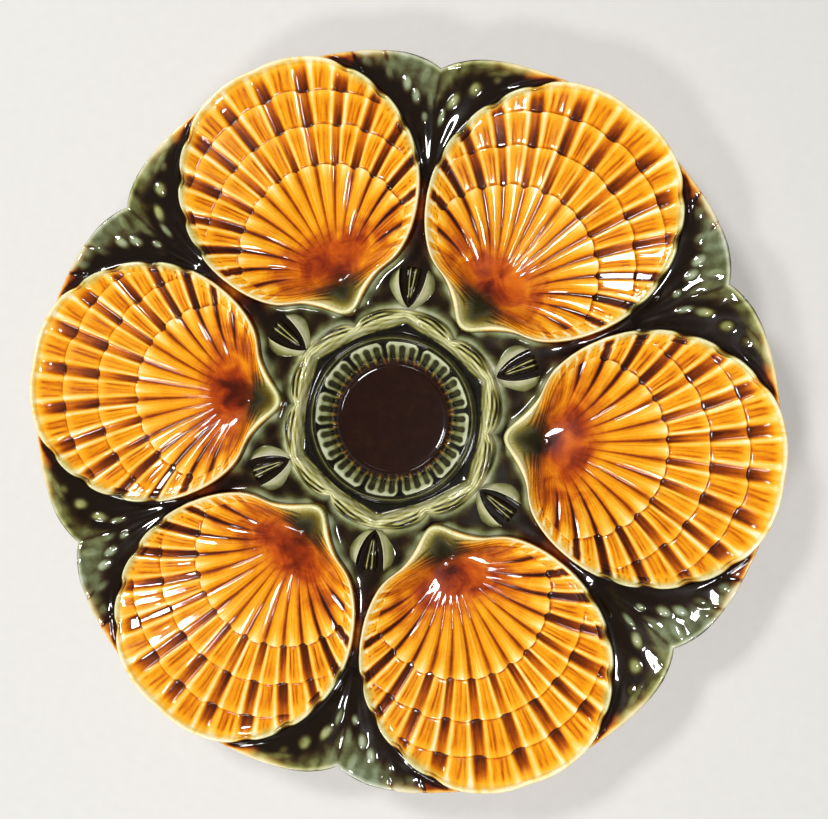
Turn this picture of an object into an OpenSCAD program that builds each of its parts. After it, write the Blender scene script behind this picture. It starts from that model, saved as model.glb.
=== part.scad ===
// Oyster plate: six scallop-shell wells round a slotted sauce well.
// The plate is one pressed and glazed earthenware casting. Each piece below is one region of its
// mould relief, cut from the full thickness of the clay, and meets its neighbours face to face.
// Origin: centre of the foot ring's resting face. +Z is up. Well 1 lies on +X.

/* [Plate] */
// Height of the outer lips of the wells above the table
rim_h = 22; // [20:0.5:28]
// Height of the wells' hinge lips, next to the wreath
hinge_lip_h = 17.5; // [16:0.5:19]
// Thickness of clay under the floors of the wells
floor_t = 4; // [3:0.5:5.5]
// Thickness of clay at the outer edge
edge_t = 4.5; // [3.5:0.25:6]
// Radius of the flat middle of the underside
base_r = 68; // [64:1:74]

/* [Foot ring] */
// Inner radius of the foot ring
foot_r = 50; // [40:1:54]
// Width of the foot ring's upper face
foot_w = 7; // [5:0.5:9]
// Height of the foot ring
foot_h = 4; // [2.5:0.25:5]
// Width of the bevel on each side of the resting face
foot_bevel = 1.2; // [0.5:0.1:1.8]

/* [Scallop wells] */
// Radius of a well's rounded outline
shell_r = 41.4; // [38:0.2:45]
// Extra radius on each side of the outline's front
front_swell = 1.2; // [0:0.1:2.5]
// How far the flanks are drawn in
flank_draw = 1.6; // [0.5:0.1:2.5]
// How far the hinge's tip reaches out of the outline
hinge_reach = 4.9; // [3:0.1:6]
// Depth of the hollows on each side of the tip
hinge_dip = 1.6; // [0.5:0.1:2.5]
// Distance from the middle of the outline back to the deepest point
hinge_back = 32; // [28:0.5:34]
// Width of the lip round each well
lip_w = 1.8; // [1:0.1:3]
// Fall from the lip's crest to its inner edge
lip_fall = 0.7; // [0.3:0.1:1.2]
// Height of the step at each growth band
band_step = 0.8; // [0.3:0.1:1.4]
// Depth of the furrows between the ribs
furrow_d = 1.1; // [0.4:0.1:1.6]
// Share of the rib spacing taken by a furrow
furrow_share = 0.42; // [0.3:0.02:0.55]
// Radii of the three growth bands
band_r = [29.3, 37.3, 42]; // mm
// Distances of the bands' middles beyond the deepest point
band_out = [10.7, 15.2, 21.3]; // mm

/* [Channels and buds] */
// Least width of the channel between two wells
channel_w = 2.4; // [1.6:0.1:3.5]
// Height of the floor of the pools round the buds
pool_h = 12; // [10.5:0.25:13]
// Height of the channel's floor where it reaches the rim panel
channel_h = 13; // [12.5:0.25:14.5]
// Length of a bud
bud_l = 12.6; // [9:0.2:13]
// Width of a bud
bud_w = 5; // [3:0.2:5.4]
// Height of a bud above its pool
bud_h = 3.2; // [2:0.2:4]
// Distance from the wreath to the tip of a bud's calyx
bud_gap = 0.4; // [0.2:0.1:1]
// Length of the calyx that holds a bud
calyx_l = 13; // [11:0.5:13.5]
// Distance between the crests of a calyx at its mouth
calyx_w = 9.2; // [8:0.2:9.6]
// Thickness of each side of a calyx
calyx_t = 2.6; // [1.5:0.1:3]
// Height of a calyx's crests above the pool
calyx_h = 2.8; // [1.5:0.1:3.5]

/* [Seaweed panels] */
// Radius of the panels' outline
panel_r = 122.4; // [119:0.2:123]
// Depth of the notch in the middle of each panel
notch_d = 7.2; // [4:0.2:9]
// Angle over which the notch runs out, degrees
notch_run = 6; // [4:0.25:8]
// Height of the panels' edge above the table
panel_h = 20; // [18.5:0.25:21]
// Height of the frond's relief
frond_h = 1.4; // [0.4:0.1:2]

/* [Wreath and sauce well] */
// Radius of the sauce well's flat floor
sauce_r = 18; // [15:0.25:19]
// Thickness of clay under the sauce well
sauce_t = 5; // [4:0.25:6]
// Width of the sloping band that holds the slots
slot_band_w = 7.6; // [6:0.1:8]
// Height that the slotted band rises
slot_band_h = 5.4; // [4:0.1:6]
// Width of a slot
slot_w = 1.9; // [1.2:0.1:2.3]
// Depth of a slot
slot_d = 1.1; // [0.5:0.1:1.6]
// Angle between neighbouring slots of a group, degrees
slot_pitch = 8.6; // [7.5:0.1:9.2]
// Width of the gap between two groups of slots
slot_gap_w = 1.3; // [0.8:0.1:1.6]
// Width of the bead outside the slotted band
bead_w = 1.4; // [0.8:0.1:1.8]
// Height of the bead above the slotted band
bead_h = 0.8; // [0.4:0.1:1.2]
// Width of the moat between bead and wreath at its narrowest
moat_w = 2.5; // [1.6:0.1:3]
// Depth of the moat below the top of the slotted band
moat_d = 1.2; // [0.5:0.1:2]
// Width of the wreath at a well's hinge
wreath_w = 3.7; // [3:0.1:4.2]
// Height of the wreath above the pools
wreath_h = 5.6; // [4:0.2:6.5]
// Fall from the wreath's crest to its shoulders
wreath_fall = 1; // [0.5:0.1:1.5]
// Height of the blades' relief on the wreath
blade_h = 0.5; // [0.2:0.1:0.8]
// How far the wreath's outer edge stands out beyond the pinch at each hinge
wreath_swell = 3.7; // [2:0.1:4.2]
// How far the corners of the wreath's inner edge stand out between the wells
wreath_corner = 2.2; // [1:0.1:3]
// Angle over which the wreath widens from a pinch, degrees
pinch_run = 6; // [4:0.25:9]

/* [Hidden] */
WELLS = 6;
STEP = 360 / WELLS;
HALF = STEP / 2;
CELLS = 8;
RIBS = 8;
RIB_PITCH = 12.4;
RIB_CLOSING = 0.18;
RIB_BEND = 0.45;
// Share of a rib's bend that is left where the bands cross it
BAND_BEND = 0.3;
// A band ends this share of the way short of the lip, and one more for each band outside it
BAND_END = 0.03;
BAND_FADE = 0.05;
// Shares of a band's step above and below the bowl's even slope
CREST = 0.8;
TROUGH = 0.2;
// Distance from the tip of a calyx to the tip of its bud
BUD_INSET = 1.2;
SLOT_GROUPS = 12;
// Where the slots and the gaps start and end on the slotted band, as shares of its width
SLOT_FROM = 0.28;
SLOT_TO = 0.88;
GAP_TO = 0.95;
OVERLAP = 1;
// Half the width of the step at a growth band, as a share of the way to the lip
RISER = 0.008;

// Radii, from the centre outwards
band_top_r = sauce_r + slot_band_w;
bead_r = band_top_r + bead_w;
moat_r = bead_r + moat_w / 2;
wreath_in_r = bead_r + moat_w;
wreath_out_r = wreath_in_r + wreath_w;
well_mid_r = (shell_r - flank_draw + channel_w / 2) / sin(HALF);
hinge_r = well_mid_r - hinge_back;
hinge_tip_r = well_mid_r - shell_radius(180);
well_out_r = well_mid_r + shell_radius(0);

// Heights
floor_h = foot_h + floor_t;
sauce_h = foot_h + sauce_t;
moat_h = sauce_h + slot_band_h - moat_d;
under_rim_h = rim_h - edge_t;

function clamp(x, low = 0, high = 1) = min(high, max(low, x));
function mix(a, b, t) = a + (b - a) * t;
function turn(p, a) = [p.x * cos(a) - p.y * sin(a), p.x * sin(a) + p.y * cos(a), p.z];

// Height of the underside at a distance from the centre: flat, then rising to the edge
function under_h(r) =
    foot_h + (under_rim_h - foot_h) * pow(clamp((r - base_r) / (well_out_r - base_r)), 1.3);
function lip_h(r) =
    mix(hinge_lip_h, rim_h, clamp((r - hinge_tip_r) / (well_out_r - hinge_tip_r)));

// One well, seen from its own axis: a is the angle about the middle of the outline
function shell_radius(a) =
    shell_r
    + front_swell * exp(-pow((abs(a) - 28) / 22, 2))
    - flank_draw * clamp((abs(a) - 60) / 60)
    + hinge_reach * exp(-pow((180 - abs(a)) / 8.5, 2))
    - hinge_dip * exp(-pow((abs(a) - 158) / 9, 2));
// b is the direction of a rib from the deepest point, at the place where it meets the lip
function shell_angle(b) = b + asin(hinge_back / shell_r * sin(b));
function shell_edge(b) =
    let (a = shell_angle(b), r = shell_radius(a))
    [well_mid_r + r * cos(a), r * sin(a)];
function rib_angle(k) = RIB_PITCH * k - RIB_CLOSING * k * abs(k);

// Directions of the columns of points: three to a furrow, then plain ones round the hinge
function furrow_columns(k) =
    let (w = furrow_share / 2)
    [rib_angle(k - w), rib_angle(k), rib_angle(k + w)];
HINGE_COLUMNS = [101, 113, 127, 141, 153, 163, 172];
SIDE = concat([for (k = [1:RIBS]) each furrow_columns(k)], HINGE_COLUMNS);
COLUMNS = concat(
    [180], [for (i = [len(SIDE) - 1:-1:0]) -SIDE[i]], furrow_columns(0), SIDE);
function is_furrow(i) =
    abs(COLUMNS[i]) < rib_angle(RIBS + 0.1)
    && (i - len(HINGE_COLUMNS) - 1) % 3 == 1;

// A rib leaves the deepest point closer to the axis and bends outwards on its way to the lip
function well_point(b, s) =
    let (
        e = shell_edge(b),
        d = norm(e - [hinge_r, 0]),
        b_true = atan2(e.y, e.x - hinge_r),
        a = abs(b) == 180 ? 180 : b_true * (1 - RIB_BEND * (1 - s) * pow(cos(b_true / 2), 2))
    )
    [hinge_r + d * s * cos(a), d * s * sin(a)];
// Where a growth band crosses a rib, as a share of the way to the lip
function band_share(b, i) =
    let (
        e = shell_edge(b),
        d = norm(e - [hinge_r, 0]),
        a = b * (1 - BAND_BEND * RIB_BEND * pow(cos(b / 2), 2)),
        out = band_out[i] * cos(a) + sqrt(pow(band_r[i], 2) - pow(band_out[i] * sin(a), 2))
    )
    out / d;
// A band ends where it runs out under the lip
function band_limit(b, i) =
    1 - lip_w / norm(shell_edge(b) - [hinge_r, 0]) - BAND_END * (len(band_r) - i);
function band_place(b, i) = min(band_share(b, i), band_limit(b, i));
function band_fade(b, i) = clamp((band_limit(b, i) - band_share(b, i)) / BAND_FADE);
function well_h(b, s, rise, furrow) =
    let (
        e = shell_edge(b),
        steep = 1.9 - 0.5 * clamp(-cos(b)),
        bowl = mix(floor_h, lip_h(norm(e)) - lip_fall, pow(s, steep))
    )
    bowl + rise * band_step - furrow * furrow_d;
function well_ring(shares, rises, furrows) =
    [for (i = [0:len(COLUMNS) - 1])
        let (b = COLUMNS[i], s = shares[i], p = well_point(b, s))
        [p.x, p.y, well_h(b, s, rises[i], is_furrow(i) ? furrows : 0)]];
// The ring of points just inside (side -1) or just outside (side 1) a growth band's step
function band_ring(i, side, rise) =
    well_ring(
        [for (b = COLUMNS) band_place(b, i) + side * RISER],
        [for (b = COLUMNS) rise * band_fade(b, i)],
        side < 0 && i == 0 ? 0.5 : 1);
function edge_share(b, inset) = 1 - inset / norm(shell_edge(b) - [hinge_r, 0]);
function under_ring(s) =
    [for (b = COLUMNS) let (p = well_point(b, s)) [p.x, p.y, under_h(norm(p))]];
LEVEL = [for (b = COLUMNS) 0];
function well_rings() = concat(
    [
        under_ring(0.25),
        under_ring(0.6),
        under_ring(1),
        [for (b = COLUMNS) let (p = shell_edge(b)) [p.x, p.y, lip_h(norm(p))]],
        well_ring([for (b = COLUMNS) edge_share(b, lip_w)], LEVEL, 0.25)
    ],
    [for (i = [len(band_r) - 1:-1:0]) each [band_ring(i, 1, -TROUGH), band_ring(i, -1, CREST)]],
    [well_ring([for (b = COLUMNS) 0.4 * band_place(b, 0)], LEVEL, 0.15)]
);

// A closed solid from rings of equal length: from a point below, over the edge, to a point above
function ring_faces(n, rings, first) =
    [for (r = [0:rings - 2], i = [0:n - 1])
        let (
            a = first + r * n + i,
            b = first + r * n + (i + 1) % n,
            c = a + n,
            d = b + n
        )
        each [[a, c, b], [b, c, d]]];
module dome(low, rings, high) {
    n = len(rings[0]);
    top = 1 + len(rings) * n;
    points = concat([low], [for (r = rings) each r], [high]);
    faces = concat(
        [for (i = [0:n - 1]) [0, 1 + i, 1 + (i + 1) % n]],
        ring_faces(n, len(rings), 1),
        [for (i = [0:n - 1]) [top, top - n + (i + 1) % n, top - n + i]]);
    polyhedron(points, faces);
}
// A closed solid that goes round a hole: the last ring joins the first
module hoop(rings) {
    n = len(rings[0]);
    count = len(rings);
    points = [for (r = rings) each r];
    faces = [for (r = [0:count - 1], i = [0:n - 1])
        let (
            a = r * n + i,
            b = r * n + (i + 1) % n,
            c = ((r + 1) % count) * n + i,
            d = ((r + 1) % count) * n + (i + 1) % n
        )
        each [[a, c, b], [b, c, d]]];
    polyhedron(points, faces);
}
// A closed slab between two grids of points, given as rows from left to right
module slab(top, bottom) {
    n = len(top[0]);
    m = len(top);
    size = n * m;
    points = concat([for (r = top) each r], [for (r = bottom) each r]);
    grid = [for (r = [0:m - 2], i = [0:n - 2])
        let (a = r * n + i) [a, a + 1, a + n, a + n + 1]];
    edge = concat(
        [for (i = [0:n - 2]) [i, i + 1]],
        [for (i = [0:n - 2]) [size - n + i + 1, size - n + i]],
        [for (r = [0:m - 2]) [(r + 1) * n, r * n]],
        [for (r = [0:m - 2]) [(r + 1) * n - 1, (r + 2) * n - 1]]);
    faces = concat(
        [for (q = grid) each [[q[0], q[2], q[1]], [q[1], q[2], q[3]]]],
        [for (q = grid) each [
            [size + q[0], size + q[1], size + q[2]],
            [size + q[1], size + q[3], size + q[2]]]],
        [for (e = edge) each [
            [e[0], e[1], size + e[0]],
            [e[1], size + e[1], size + e[0]]]]);
    polyhedron(points, faces);
}

// The land between two wells, seen from its own axis, which runs out along +Y.
// Its rows end on the points of the wells' outlines, from the wreath to the outer edge.
// Its edges are given by the angle from the nearest hinge, 0 to HALF.
function wreath_edge(a) = wreath_out_r + wreath_swell * (1 - exp(-a / pinch_run));
function wreath_inner(a) = wreath_in_r + wreath_corner * pow(a / HALF, 1.7);
function between(p) =
    let (a = atan2(p.y, p.x) - HALF, r = norm(p))
    [-r * sin(a), r * cos(a)];
AXIS_ROWS = 2;
ENDS = concat(
    [for (i = [0:AXIS_ROWS])
        between([mix(wreath_out_r, hinge_tip_r, i / (AXIS_ROWS + 1)), 0])],
    [between([hinge_tip_r, 0])],
    [for (i = [len(SIDE) - 1:-1:2]) between(shell_edge(SIDE[i]))]);
LAST = len(ENDS) - 1;
PANEL_ROW = LAST - 12;
neck_y = ENDS[AXIS_ROWS + 6].y;
function panel_edge_r(a) = panel_r - notch_d * exp(-abs(a) / notch_run);
PANEL_ANGLE = atan2(ENDS[LAST].x, ENDS[LAST].y);
function outer_rise(u) =
    let (a = PANEL_ANGLE * u)
    panel_edge_r(a) * cos(a) - panel_edge_r(PANEL_ANGLE) * cos(PANEL_ANGLE);
function inner_bulge(y) =
    (wreath_edge(HALF) - ENDS[0].y) * clamp(1 - (y - ENDS[0].y) / (neck_y - ENDS[0].y));
// Rows next to the wreath are pushed out to lie clear of its edge, one after the other
ROW_GAP = 0.3;
function clear_of_wreath(p, i) =
    let (least = wreath_edge(clamp(HALF - abs(atan2(p.x, p.y)), 0, HALF)) + ROW_GAP * i)
    i > AXIS_ROWS + 2 || norm(p) > least ? p : p * least / norm(p);
function land_point(i, u) =
    let (
        e = ENDS[i],
        a = HALF * u,
        out = pow(clamp((e.y - ENDS[PANEL_ROW].y) / (ENDS[LAST].y - ENDS[PANEL_ROW].y)), 2)
    )
    i == 0
        ? let (r = wreath_edge(HALF - abs(a))) [r * sin(a), r * cos(a)]
        : clear_of_wreath([e.x * u, e.y + inner_bulge(e.y) * (1 - u * u) + out * outer_rise(u)], i);
// The pool is flat as far as the first row past the bud, and the channel climbs from there
pool_end_y = wreath_edge(HALF) + bud_gap + BUD_INSET + bud_l;
function channel_top(i) =
    let (y = ENDS[max(i - 1, 0)].y, t = (y - pool_end_y) / (ENDS[PANEL_ROW - 1].y - pool_end_y))
    mix(pool_h, channel_h, clamp(t));
// The panel climbs to its edge; two fronds stand up from it on either side of the middle
function panel_top(i, u) =
    let (
        t = clamp((ENDS[i].y - ENDS[PANEL_ROW].y) / (ENDS[LAST].y - ENDS[PANEL_ROW].y)),
        frond = exp(-pow((abs(u) - 0.42) / 0.24, 2)) * sin(180 * clamp(t * 0.95)),
        edge = i == LAST ? 1 : 0
    )
    mix(channel_h, panel_h, pow(t, 0.8)) + frond_h * frond * (1 - edge);
function acrosses() = [for (c = [0:CELLS]) 2 * c / CELLS - 1];
function land_rows(first, last, high) =
    [for (i = [first:last])
        [for (u = acrosses())
            let (p = land_point(i, u))
            [p.x, p.y, high ? (i > PANEL_ROW || first == PANEL_ROW ? panel_top(i, u) : channel_top(i))
                            : under_h(norm(p))]]];

// A pointed leaf lying along +Y from its tip, flat underneath
module leaf(length, width, height) {
    rows = 5;
    top = [for (i = [0:rows])
        let (t = mix(0.04, 1, i / rows), w = width / 2 * pow(sin(90 * pow(t, 0.8)), 0.9))
        [for (u = [-1, -0.6, 0, 0.6, 1])
            [w * u, length * t, height * sqrt(1 - u * u * 0.98) * mix(0.5, 1, sin(150 * t))]]];
    bottom = [for (r = top) [for (p = r) [p.x, p.y, 0]]];
    slab(top, bottom);
}

module at_well(k) {
    rotate([0, 0, STEP * (k - 1)]) children();
}
module at_gap(k) {
    rotate([0, 0, STEP * (k - 1) + HALF - 90]) children();
}

// Amber bowl shaped as the inside of a scallop shell: ribs, furrows and three growth bands
module shell_well(k) {
    color("orange")
    at_well(k)
    dome([hinge_r, 0, under_h(hinge_r)], well_rings(), [hinge_r, 0, floor_h]);
}
// Dark floor of the channel between two wells, widening to a pool by the wreath
module channel(k) {
    color([0.12, 0.08, 0.05])
    at_gap(k)
    slab(land_rows(0, PANEL_ROW, true), land_rows(0, PANEL_ROW, false));
}
// Dark rim panel with two seaweed fronds and a notched outer edge
module seaweed_panel(k) {
    color([0.36, 0.38, 0.30])
    at_gap(k)
    slab(land_rows(PANEL_ROW, LAST, true), land_rows(PANEL_ROW, LAST, false));
}
// Pointed cup of two leaves, whose crests follow an ogive round a shallow hollow
module calyx() {
    rows = 8;
    hollow_h = 0.5;
    inner_w = 0.6;
    top = [for (i = [0:rows])
        let (
            t = i / rows,
            crest = mix(inner_w, calyx_w / 2, sin(90 * pow(t, 0.75))),
            inside = crest - inner_w * 0.8,
            side = calyx_t * pow(sin(180 * mix(0.15, 0.9, t)), 0.7),
            h = calyx_h * mix(0.6, 1, sin(150 * t)),
            half = [[inside, hollow_h], [crest, h], [crest + side / 2, h / 2], [crest + side, 0.2]]
        )
        concat(
            [for (j = [3:-1:0]) [-half[j].x, calyx_l * t, half[j].y]],
            [for (p = half) [p.x, calyx_l * t, p.y]])];
    bottom = [for (r = top) [for (p = r) [p.x, p.y, 0]]];
    slab(top, bottom);
}
// Bud in its calyx, standing in the pool with its tip to the wreath
module bud(k) {
    color([0.55, 0.56, 0.36])
    at_gap(k)
    translate([0, wreath_edge(HALF) + bud_gap, pool_h])
    union() {
        calyx();
        translate([0, BUD_INSET, 0])
        leaf(bud_l, bud_w, bud_h);
    }
}
// Wreath of overlapping leaves with a six-cornered outline, inside and outside
WREATH_TURN = 360 / (WELLS * CELLS);
function wreath_ring(share, height) =
    [for (i = [0:WELLS * CELLS - 1])
        let (
            a = i * WREATH_TURN,
            from_hinge = abs((a + HALF) % STEP - HALF),
            r = mix(wreath_inner(from_hinge), wreath_edge(from_hinge), share),
            blade = blade_h * cos(a * 12)
        )
        [r * cos(a), r * sin(a), height + (share > 0 && share < 1 ? blade : 0)]];
function plain_ring(r, height) =
    [for (i = [0:WELLS * CELLS - 1])
        let (a = i * WREATH_TURN) [r * cos(a), r * sin(a), height]];
module leaf_wreath() {
    crest = pool_h + wreath_h;
    inside_r = moat_r / cos(WREATH_TURN / 2);
    color([0.70, 0.72, 0.50])
    hoop([
        plain_ring(inside_r, foot_h),
        wreath_ring(1, foot_h),
        wreath_ring(1, pool_h + wreath_fall),
        wreath_ring(0.8, crest - wreath_fall),
        wreath_ring(0.5, crest),
        wreath_ring(0.2, crest - wreath_fall),
        wreath_ring(0, moat_h),
        plain_ring(inside_r, moat_h)
    ]);
}
// Round sauce well: flat floor, sloping band pierced by shallow slots, bead and half the moat
module slot_cut() {
    slope = atan2(slot_band_h, slot_band_w);
    length = norm([slot_band_w, slot_band_h]);
    ends = slot_w / 2;
    first = SLOT_FROM * length;
    last = SLOT_TO * length;
    translate([sauce_r, 0, sauce_h])
    rotate([0, -slope, 0])
    translate([0, 0, -slot_d]) {
        translate([first + ends, -slot_w / 2, 0])
        cube([last - first - slot_w, slot_w, slot_d + OVERLAP]);
        for (x = [first + ends, last - ends]) {
            translate([x, 0, 0])
            cylinder(h = slot_d + OVERLAP, r = ends, $fn = 24);
        }
    }
}
// Radial gap between two groups of slots, through the top of the band
module group_gap() {
    slope = atan2(slot_band_h, slot_band_w);
    length = norm([slot_band_w, slot_band_h]);
    translate([sauce_r, 0, sauce_h])
    rotate([0, -slope, 0])
    translate([SLOT_FROM * length, -slot_gap_w / 2, -slot_d])
    cube([(GAP_TO - SLOT_FROM) * length, slot_gap_w, slot_d + OVERLAP]);
}
module sauce_well() {
    bead_top = sauce_h + slot_band_h + bead_h;
    bevel = bead_w / 5;
    color([0.62, 0.65, 0.48])
    difference() {
        rotate_extrude($fn = 96)
        polygon([
            [0, foot_h],
            [moat_r, foot_h],
            [moat_r, moat_h],
            [bead_r, moat_h],
            [bead_r - bevel, bead_top],
            [band_top_r + bevel, bead_top],
            [band_top_r, sauce_h + slot_band_h],
            [sauce_r, sauce_h],
            [0, sauce_h]
        ]);
        for (g = [0:SLOT_GROUPS - 1], s = [-1:1]) {
            rotate([0, 0, g * 360 / SLOT_GROUPS + s * slot_pitch])
            slot_cut();
        }
        for (g = [0:SLOT_GROUPS - 1]) {
            rotate([0, 0, (g + 0.5) * 360 / SLOT_GROUPS])
            group_gap();
        }
    }
}
// Ring that the plate stands on
module foot_ring() {
    color([0.80, 0.72, 0.58])
    rotate_extrude($fn = 128)
    polygon([
        [foot_r, foot_h],
        [foot_r + foot_bevel, 0],
        [foot_r + foot_w - foot_bevel, 0],
        [foot_r + foot_w, foot_h]
    ]);
}

foot_ring();
sauce_well();
leaf_wreath();
for (k = [1:WELLS]) {
    shell_well(k);
    channel(k);
    seaweed_panel(k);
    bud(k);
}
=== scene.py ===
from math import radians

import bpy
import numpy as np
from mathutils import Euler, Matrix, Vector


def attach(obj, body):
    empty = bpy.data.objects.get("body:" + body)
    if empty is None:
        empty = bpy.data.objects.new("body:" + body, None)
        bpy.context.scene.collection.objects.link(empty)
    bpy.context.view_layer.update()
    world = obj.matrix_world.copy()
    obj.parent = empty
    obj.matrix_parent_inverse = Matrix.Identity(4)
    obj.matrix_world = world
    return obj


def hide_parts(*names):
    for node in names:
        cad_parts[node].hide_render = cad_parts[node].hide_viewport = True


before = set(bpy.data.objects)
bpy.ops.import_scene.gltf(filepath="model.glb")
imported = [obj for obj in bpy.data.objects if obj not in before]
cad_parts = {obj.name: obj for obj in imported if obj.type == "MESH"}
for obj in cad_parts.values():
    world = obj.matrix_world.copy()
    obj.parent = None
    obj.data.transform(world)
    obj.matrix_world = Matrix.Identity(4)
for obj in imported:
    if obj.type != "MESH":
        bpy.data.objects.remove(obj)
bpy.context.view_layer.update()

# ---------------------------------------------------------------- camera, table top and lamps
# The plate is looked at from just over its middle, with a short lens close by, so that its
# near and far lips lean outwards. It stands on a plain pale board under three soft lamps.
MM = 0.001
LENS_PIXELS = 807.9
FRAME_PIXELS = 828
SENSOR = 36
CLIP_START = 0.01
# Turns about X, Y and Z in degrees, then the eye's place in millimetres along the turned axes,
# from a point just above the board
VIEW_TURNS = (0.601, -6.621, -8.576)
EYE = (5.974, 3.188, 280)
AIM = (0, 0, 1)

camera_data = bpy.data.cameras.new("camera")
camera_data.sensor_width = SENSOR
camera_data.lens = LENS_PIXELS / FRAME_PIXELS * SENSOR
camera_data.clip_start = CLIP_START
camera = bpy.data.objects.new("camera", camera_data)
bpy.context.scene.collection.objects.link(camera)
to_world = Euler([radians(turn) for turn in VIEW_TURNS]).to_matrix().transposed()
seen_from = to_world @ Vector(EYE) * MM + Vector(AIM) * MM
camera.matrix_world = Matrix.LocRotScale(seen_from, to_world, None)
bpy.context.scene.camera = camera
bpy.context.scene.view_settings.view_transform = "Standard"


def linear(hex_colour):
    """A colour written as sRGB hex, turned to the linear values that nodes take."""
    shares = [int(hex_colour[i:i + 2], 16) / 255 for i in (0, 2, 4)]
    return [s / 12.92 if s <= 0.04045 else ((s + 0.055) / 1.055) ** 2.4 for s in shares] + [1]


def set_inputs(node, inputs):
    """Sets inputs of a node to values, or links them to a socket or to a node's first live one."""
    for name, value in inputs.items():
        if isinstance(value, bpy.types.Node):
            value = next(output for output in value.outputs if output.enabled)
        if isinstance(value, bpy.types.NodeSocket):
            node.id_data.links.new(value, node.inputs[name])
        else:
            node.inputs[name].default_value = value


def put(tree, kind, inputs, **settings):
    """Adds a node with its settings, and sets or links each of its inputs."""
    new = tree.nodes.new("ShaderNode" + kind)
    for name, value in settings.items():
        setattr(new, name, value)
    set_inputs(new, inputs)
    return new


# Painted board: a matt white paint with hardly any grain. The scale of each pattern in this file
# is one over the real size of its patches.
BOARD_R = 0.95
board = bpy.data.materials.new("matt_white_paint")
board.use_nodes = True
tree = board.node_tree
where = put(tree, "TexCoord", {}).outputs["Object"]
grain = put(tree, "TexNoise", {"Vector": where, "Scale": 1 / (4 * MM), "Detail": 4})
paint = put(tree, "Mix", {0: grain, 6: linear("DAD8D3"), 7: linear("E0DEDA")}, data_type="RGBA")
set_inputs(tree.nodes["Principled BSDF"],
           {"Base Color": paint, "Roughness": 0.9, "Specular IOR Level": 0.2})

bpy.ops.object.select_all(action="DESELECT")
bpy.ops.mesh.primitive_circle_add(vertices=160, radius=BOARD_R, fill_type="NGON")
table_top = bpy.context.object
table_top.name = "table_top"
table_top.data.materials.append(board)

# The room: pale walls low round the board, and a dim even ceiling above them
WALL_LIGHT = 0.62
CEILING_LIGHT = 0.1
room = bpy.context.scene.world or bpy.data.worlds.new("room")
bpy.context.scene.world = room
room.use_nodes = True
tree = room.node_tree
upwards = put(tree, "SeparateXYZ", {"Vector": put(tree, "TexCoord", {}).outputs["Generated"]})
level = put(tree, "MapRange", {"Value": upwards.outputs["Z"], "From Min": 0.05, "From Max": 0.4,
                               "To Min": WALL_LIGHT, "To Max": CEILING_LIGHT})
set_inputs(tree.nodes["Background"], {"Color": linear("F4F4F2"), "Strength": level})

# Lamps: azimuth, lean from straight up, distance in metres, width and height in metres, watts
LAMPS = [
    (-27, 15, 0.91, 0.09, 0.13, 4.4),
    (140, 42, 0.9, 0.12, 0.22, 3.6),
    (-110, 46, 0.9, 0.11, 0.2, 2.6),
]
for number, (azimuth, lean, distance, width, height, watts) in enumerate(LAMPS):
    lamp_data = bpy.data.lights.new(f"lamp_{number + 1}", "AREA")
    lamp_data.shape = "RECTANGLE"
    lamp_data.size = width
    lamp_data.size_y = height
    lamp_data.energy = watts
    lamp = bpy.data.objects.new(f"lamp_{number + 1}", lamp_data)
    bpy.context.scene.collection.objects.link(lamp)
    turn = Euler((0, radians(lean), radians(azimuth))).to_matrix()
    lamp.matrix_world = Matrix.LocRotScale(turn @ Vector((0, 0, distance)), turn, None)


# ---------------------------------------------------------------- foot ring
# The ring that the plate stands on, pressed in one with it from buff earthenware. Its sides are
# glazed like the underside; its resting face was wiped bare before the firing.
FOOT_R = 50
FOOT_H = 4
# Its section, as distances out from its inner edge and heights over the table
FOOT_PROFILE = [(0, 4), (0.3, 2.8), (0.8, 1.1), (1.3, 0.3), (1.9, 0), (5.1, 0), (5.7, 0.3),
                (6.2, 1.1), (6.7, 2.8), (7, 4)]


def glaze_ramp(tree, thickness, stops):
    """The colour of a glaze by its thickness, from 0 on a bare edge to 1 in a deep pool."""
    ramp = put(tree, "ValToRGB", {"Fac": thickness})
    for place, hex_colour in stops[1:-1]:
        ramp.color_ramp.elements.new(place)
    for element, (place, hex_colour) in zip(ramp.color_ramp.elements, stops):
        element.position = place
        element.color = linear(hex_colour)
    return ramp


def glazed(name, *coats):
    """A material with the gloss of a clear lead glaze over its colour, its node tree and shader,
    the place of each point in the plate's own coordinates, and the coats read from the mesh."""
    material = bpy.data.materials.new(name)
    material.use_nodes = True
    tree = material.node_tree
    surface = tree.nodes["Principled BSDF"]
    set_inputs(surface, {"Roughness": 0.32, "IOR": 1.5, "Specular IOR Level": 0.05, "Coat Weight": 1,
                         "Coat Roughness": 0.035, "Coat IOR": 1.5})
    where = put(tree, "TexCoord", {}).outputs["Object"]
    coats = [put(tree, "Attribute", {}, attribute_name=coat).outputs["Fac"] for coat in coats]
    return material, tree, surface, where, *coats


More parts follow.
